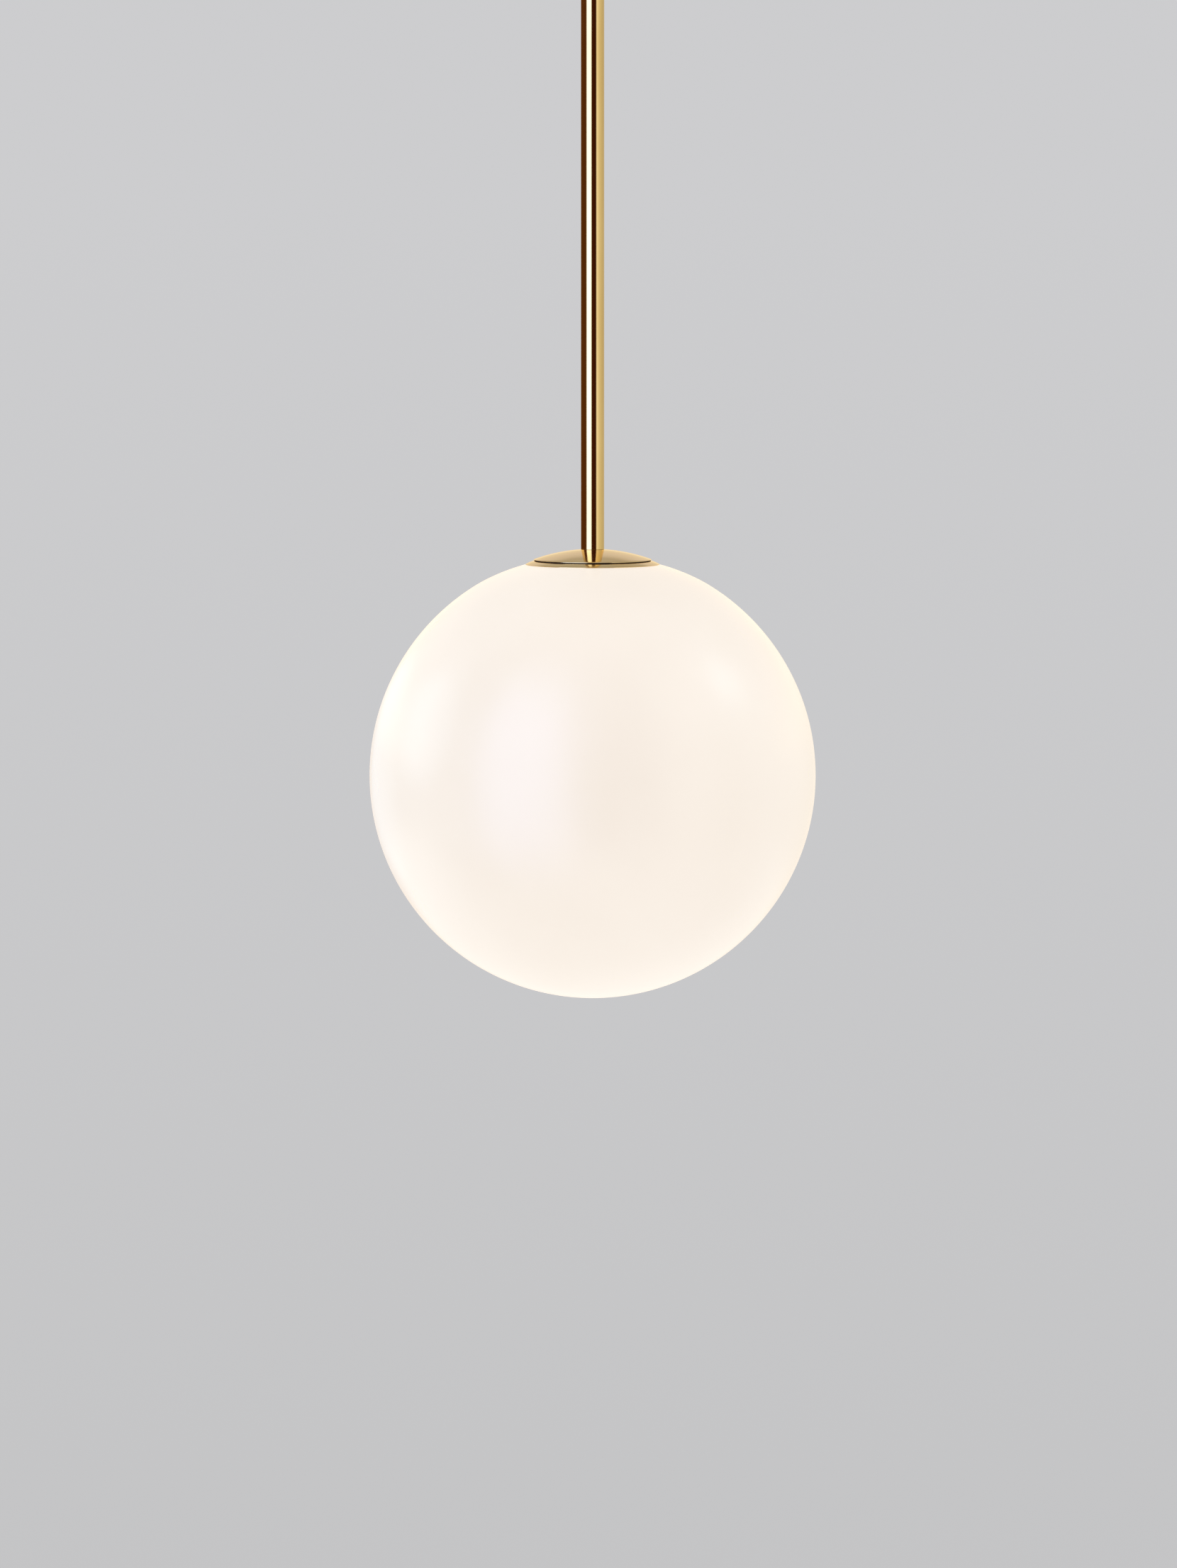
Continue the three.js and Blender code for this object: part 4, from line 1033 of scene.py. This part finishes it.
shell_corners = [
    (shell_radius - lamp_sheet, shell_foot, 0.1), (shell_radius, shell_foot, 0.1),
    (shell_radius, shell_top, 0.5), (shell_hole, shell_top, 0.1), (shell_hole, shell_top - lamp_sheet, 0.1),
    (shell_radius - lamp_sheet, shell_top - lamp_sheet, 0.4)]
spin("holder_threaded_shell", shell_corners, raw_brass, "drop", "holder_shell", sides=112,
     shape=shell_thread, pitch=0.5)

plunger_radius = 2.7
plunger_foot, plunger_top = levels("contact_plunger")
plunger_corners = [
    (0, plunger_foot), (1.4, plunger_foot, 0.5), (plunger_radius, plunger_foot + 1.2, 0.5),
    (plunger_radius, plunger_top, 0.3), (0, plunger_top)]
spin("holder_plunger", plunger_corners, raw_brass, "contact", "contact_plunger", closed=False,
     sides=56)


# ---- Cord grip, terminals and leads
# A nylon grip under the nipple takes the flex's pull. Its three cores go to brass terminals on the
# porcelain.
grip_profile = band(guard_hole, 8, *levels("cord_grip"), (0.4, 0.5, 0.4, 0.4))
spin("holder_cord_grip", grip_profile, nylon, "drop", "cord_grip", sides=64)
for degrees, (kind, finish, slot) in zip((0, 180, 90), cores):
    node = "holder_terminal_" + kind
    softened(node, "holder_post_" + kind, "drop", raw_brass, 0.35)
    top = levels(node)[1]
    x, y = math.cos(math.radians(degrees)), math.sin(math.radians(degrees))
    lead_way = [(1.5, flex_foot - 0.3), (2.2, flex_foot - 1.6), (6.8, flex_foot - 2.4), (9, top + 0.6),
                (9, top - 2.2)]
    wire("holder_core_" + kind, "holder_lead_" + kind, finish, "drop",
         [(x * r, y * r, z) for r, z in lead_way], 0.8)


# ---- Lamp base
# The lamp's screw base is rolled from nickelled sheet. A black glass insulator closes its top, with
# the soldered centre contact in the middle.
contact_foot, contact_top = levels("lamp_contact")
contact_corners = [(0, contact_foot), (4.6, contact_foot, 0.1), (4.0, contact_top, 0.9), (0, contact_top)]
spin("lamp_solder_contact", contact_corners, bright_steel, "lamp", "lamp_contact",
     closed=False, sides=64)
insulator_foot, insulator_top = levels("lamp_insulator")
insulator_corners = [
    (0, insulator_foot), (9.0, insulator_foot, 0.3), (5.2, insulator_top, 0.8), (0, insulator_top)]
spin("lamp_glass_insulator", insulator_corners, holder_gloss, "lamp", "lamp_insulator",
     closed=False, sides=72)

base_radius = 13.1
base_mouth = 4.6
base_foot, base_top = levels("lamp_base")


def base_thread(turn, r, z):
    """The rolled thread fades out at its foot, and its upper end is drawn in to enter the shell."""
    wave = 0.5 - 0.5 * math.cos(math.tau * z / lamp_pitch - turn)
    wave = max(wave, min(1, (z - base_top + 3.0) / 1.2))
    foot = max(0, min(1, (z - base_foot - 1.5) / 1.5))
    side = max(0, min(1, (r - 10) / 2))
    return -lamp_thread_depth * wave * foot * side


base_corners = [
    (base_mouth, base_top, 0.1), (9.0, base_top, 0.8), (base_radius, base_top - 2, 1.0),
    (base_radius, base_foot, 0.1), (base_radius - lamp_sheet, base_foot, 0.1),
    (base_radius - lamp_sheet, base_top - 2.2, 0.8), (8.6, base_top - lamp_sheet, 0.4),
    (base_mouth, base_top - lamp_sheet, 0.1)]
nickel = plated("lamp_nickel", (0.72, 0.70, 0.66), (0.62, 0.60, 0.56), (0.16, 0.3))
spin("lamp_rolled_base", base_corners, nickel, "lamp", "lamp_base", sides=112,
     shape=base_thread, pitch=0.4)


# ---- Lamp body and bulb
# A white moulded body flares from the base to the frosted bulb, which is lit. A round aluminium
# board with its emitters lies across the body's mouth.
bulb_radius = 30
lamp_wall = 1.2
body_foot, body_top = levels("lamp_body")
body_profile = []
for share in [k / 40 for k in range(41)]:
    flare = 0.5 - 0.5 * math.cos(math.pi * share ** 0.85)
    radius = base_radius + (bulb_radius - base_radius) * flare
    body_profile.append((radius, body_top - (body_top - body_foot) * share))
body_profile += [(r - lamp_wall, z) for r, z in body_profile[::-1]]
lamp_white = moulded("lamp_white", (0.88, 0.88, 0.87), (0.83, 0.83, 0.81), (0.3, 0.42))
spin("lamp_body_moulded", body_profile, lamp_white, "lamp", "lamp_body", sides=144)

board_foot, board_top = levels("lamp_board")
board_corners = [(0, board_foot), (28.5, board_foot, 0.2), (27, board_top, 0.2), (0, board_top)]
spin("lamp_board_disc", board_corners, zinc_plate("board_aluminium"), "lamp", "lamp_board",
     closed=False, sides=96)

emitter_size = (2.8 * mm, 3.5 * mm, 0.7 * mm)
emitter_level = board_foot - 0.4
emitter_yellow = moulded("emitter_yellow", (0.85, 0.66, 0.20), (0.80, 0.60, 0.16), (0.4, 0.5))
for circle, count in ((9, 6), (19, 12)):
    for k in range(count):
        turn = k * math.tau / count
        place = Vector((circle * math.cos(turn), circle * math.sin(turn), emitter_level)) * mm
        work = bmesh.new()
        bmesh.ops.create_cube(work, size=1)
        bmesh.ops.scale(work, vec=emitter_size, verts=work.verts)
        bmesh.ops.bevel(work, geom=work.edges[:], offset=0.15 * mm, segments=2, affect="EDGES")
        seat = Matrix.Translation(place) @ Matrix.Rotation(turn, 4, "Z")
        bmesh.ops.transform(work, matrix=seat, verts=work.verts)
        emitter_mesh = bpy.data.meshes.new("emitter")
        work.to_mesh(emitter_mesh)
        work.free()
        emitter = placed("emitter_" + str(circle) + "_" + str(k + 1), emitter_mesh)
        emitter_mesh.materials.append(emitter_yellow)
        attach(emitter, "lamp")


def lit_frost(name):
    finish = mottled(name, (0.92, 0.90, 0.87), (0.86, 0.84, 0.80), (60, 3), (500, 3), (0.5, 0.62),
                     (2200, 2, 0.1, 0.0001))
    shader = finish.node_tree.nodes["Principled BSDF"]
    shader.inputs["Emission Color"].default_value = (1.0, 0.86, 0.68, 1)
    shader.inputs["Emission Strength"].default_value = 2.0
    return finish


bulb_foot, bulb_side = levels("lamp_bulb")


def bulb_skin(radius):
    """Profile points of the bulb's half sphere, from its foot to its widest."""
    angles = [math.pi / 2 * k / 40 for k in range(41)]
    return [(radius * math.sin(a), bulb_foot + bulb_radius - radius * math.cos(a)) for a in angles]


bulb_inside = bulb_radius - lamp_wall
bulb_edge = [(bulb_radius, bulb_side, 0.2), (bulb_inside, bulb_side, 0.2)]
bulb_profile = bulb_skin(bulb_radius) + bulb_edge + bulb_skin(bulb_inside)[::-1]
spin("lamp_frosted_bulb", bulb_profile, lit_frost("bulb_frost"), "lamp", "lamp_bulb",
     closed=False, sides=144)
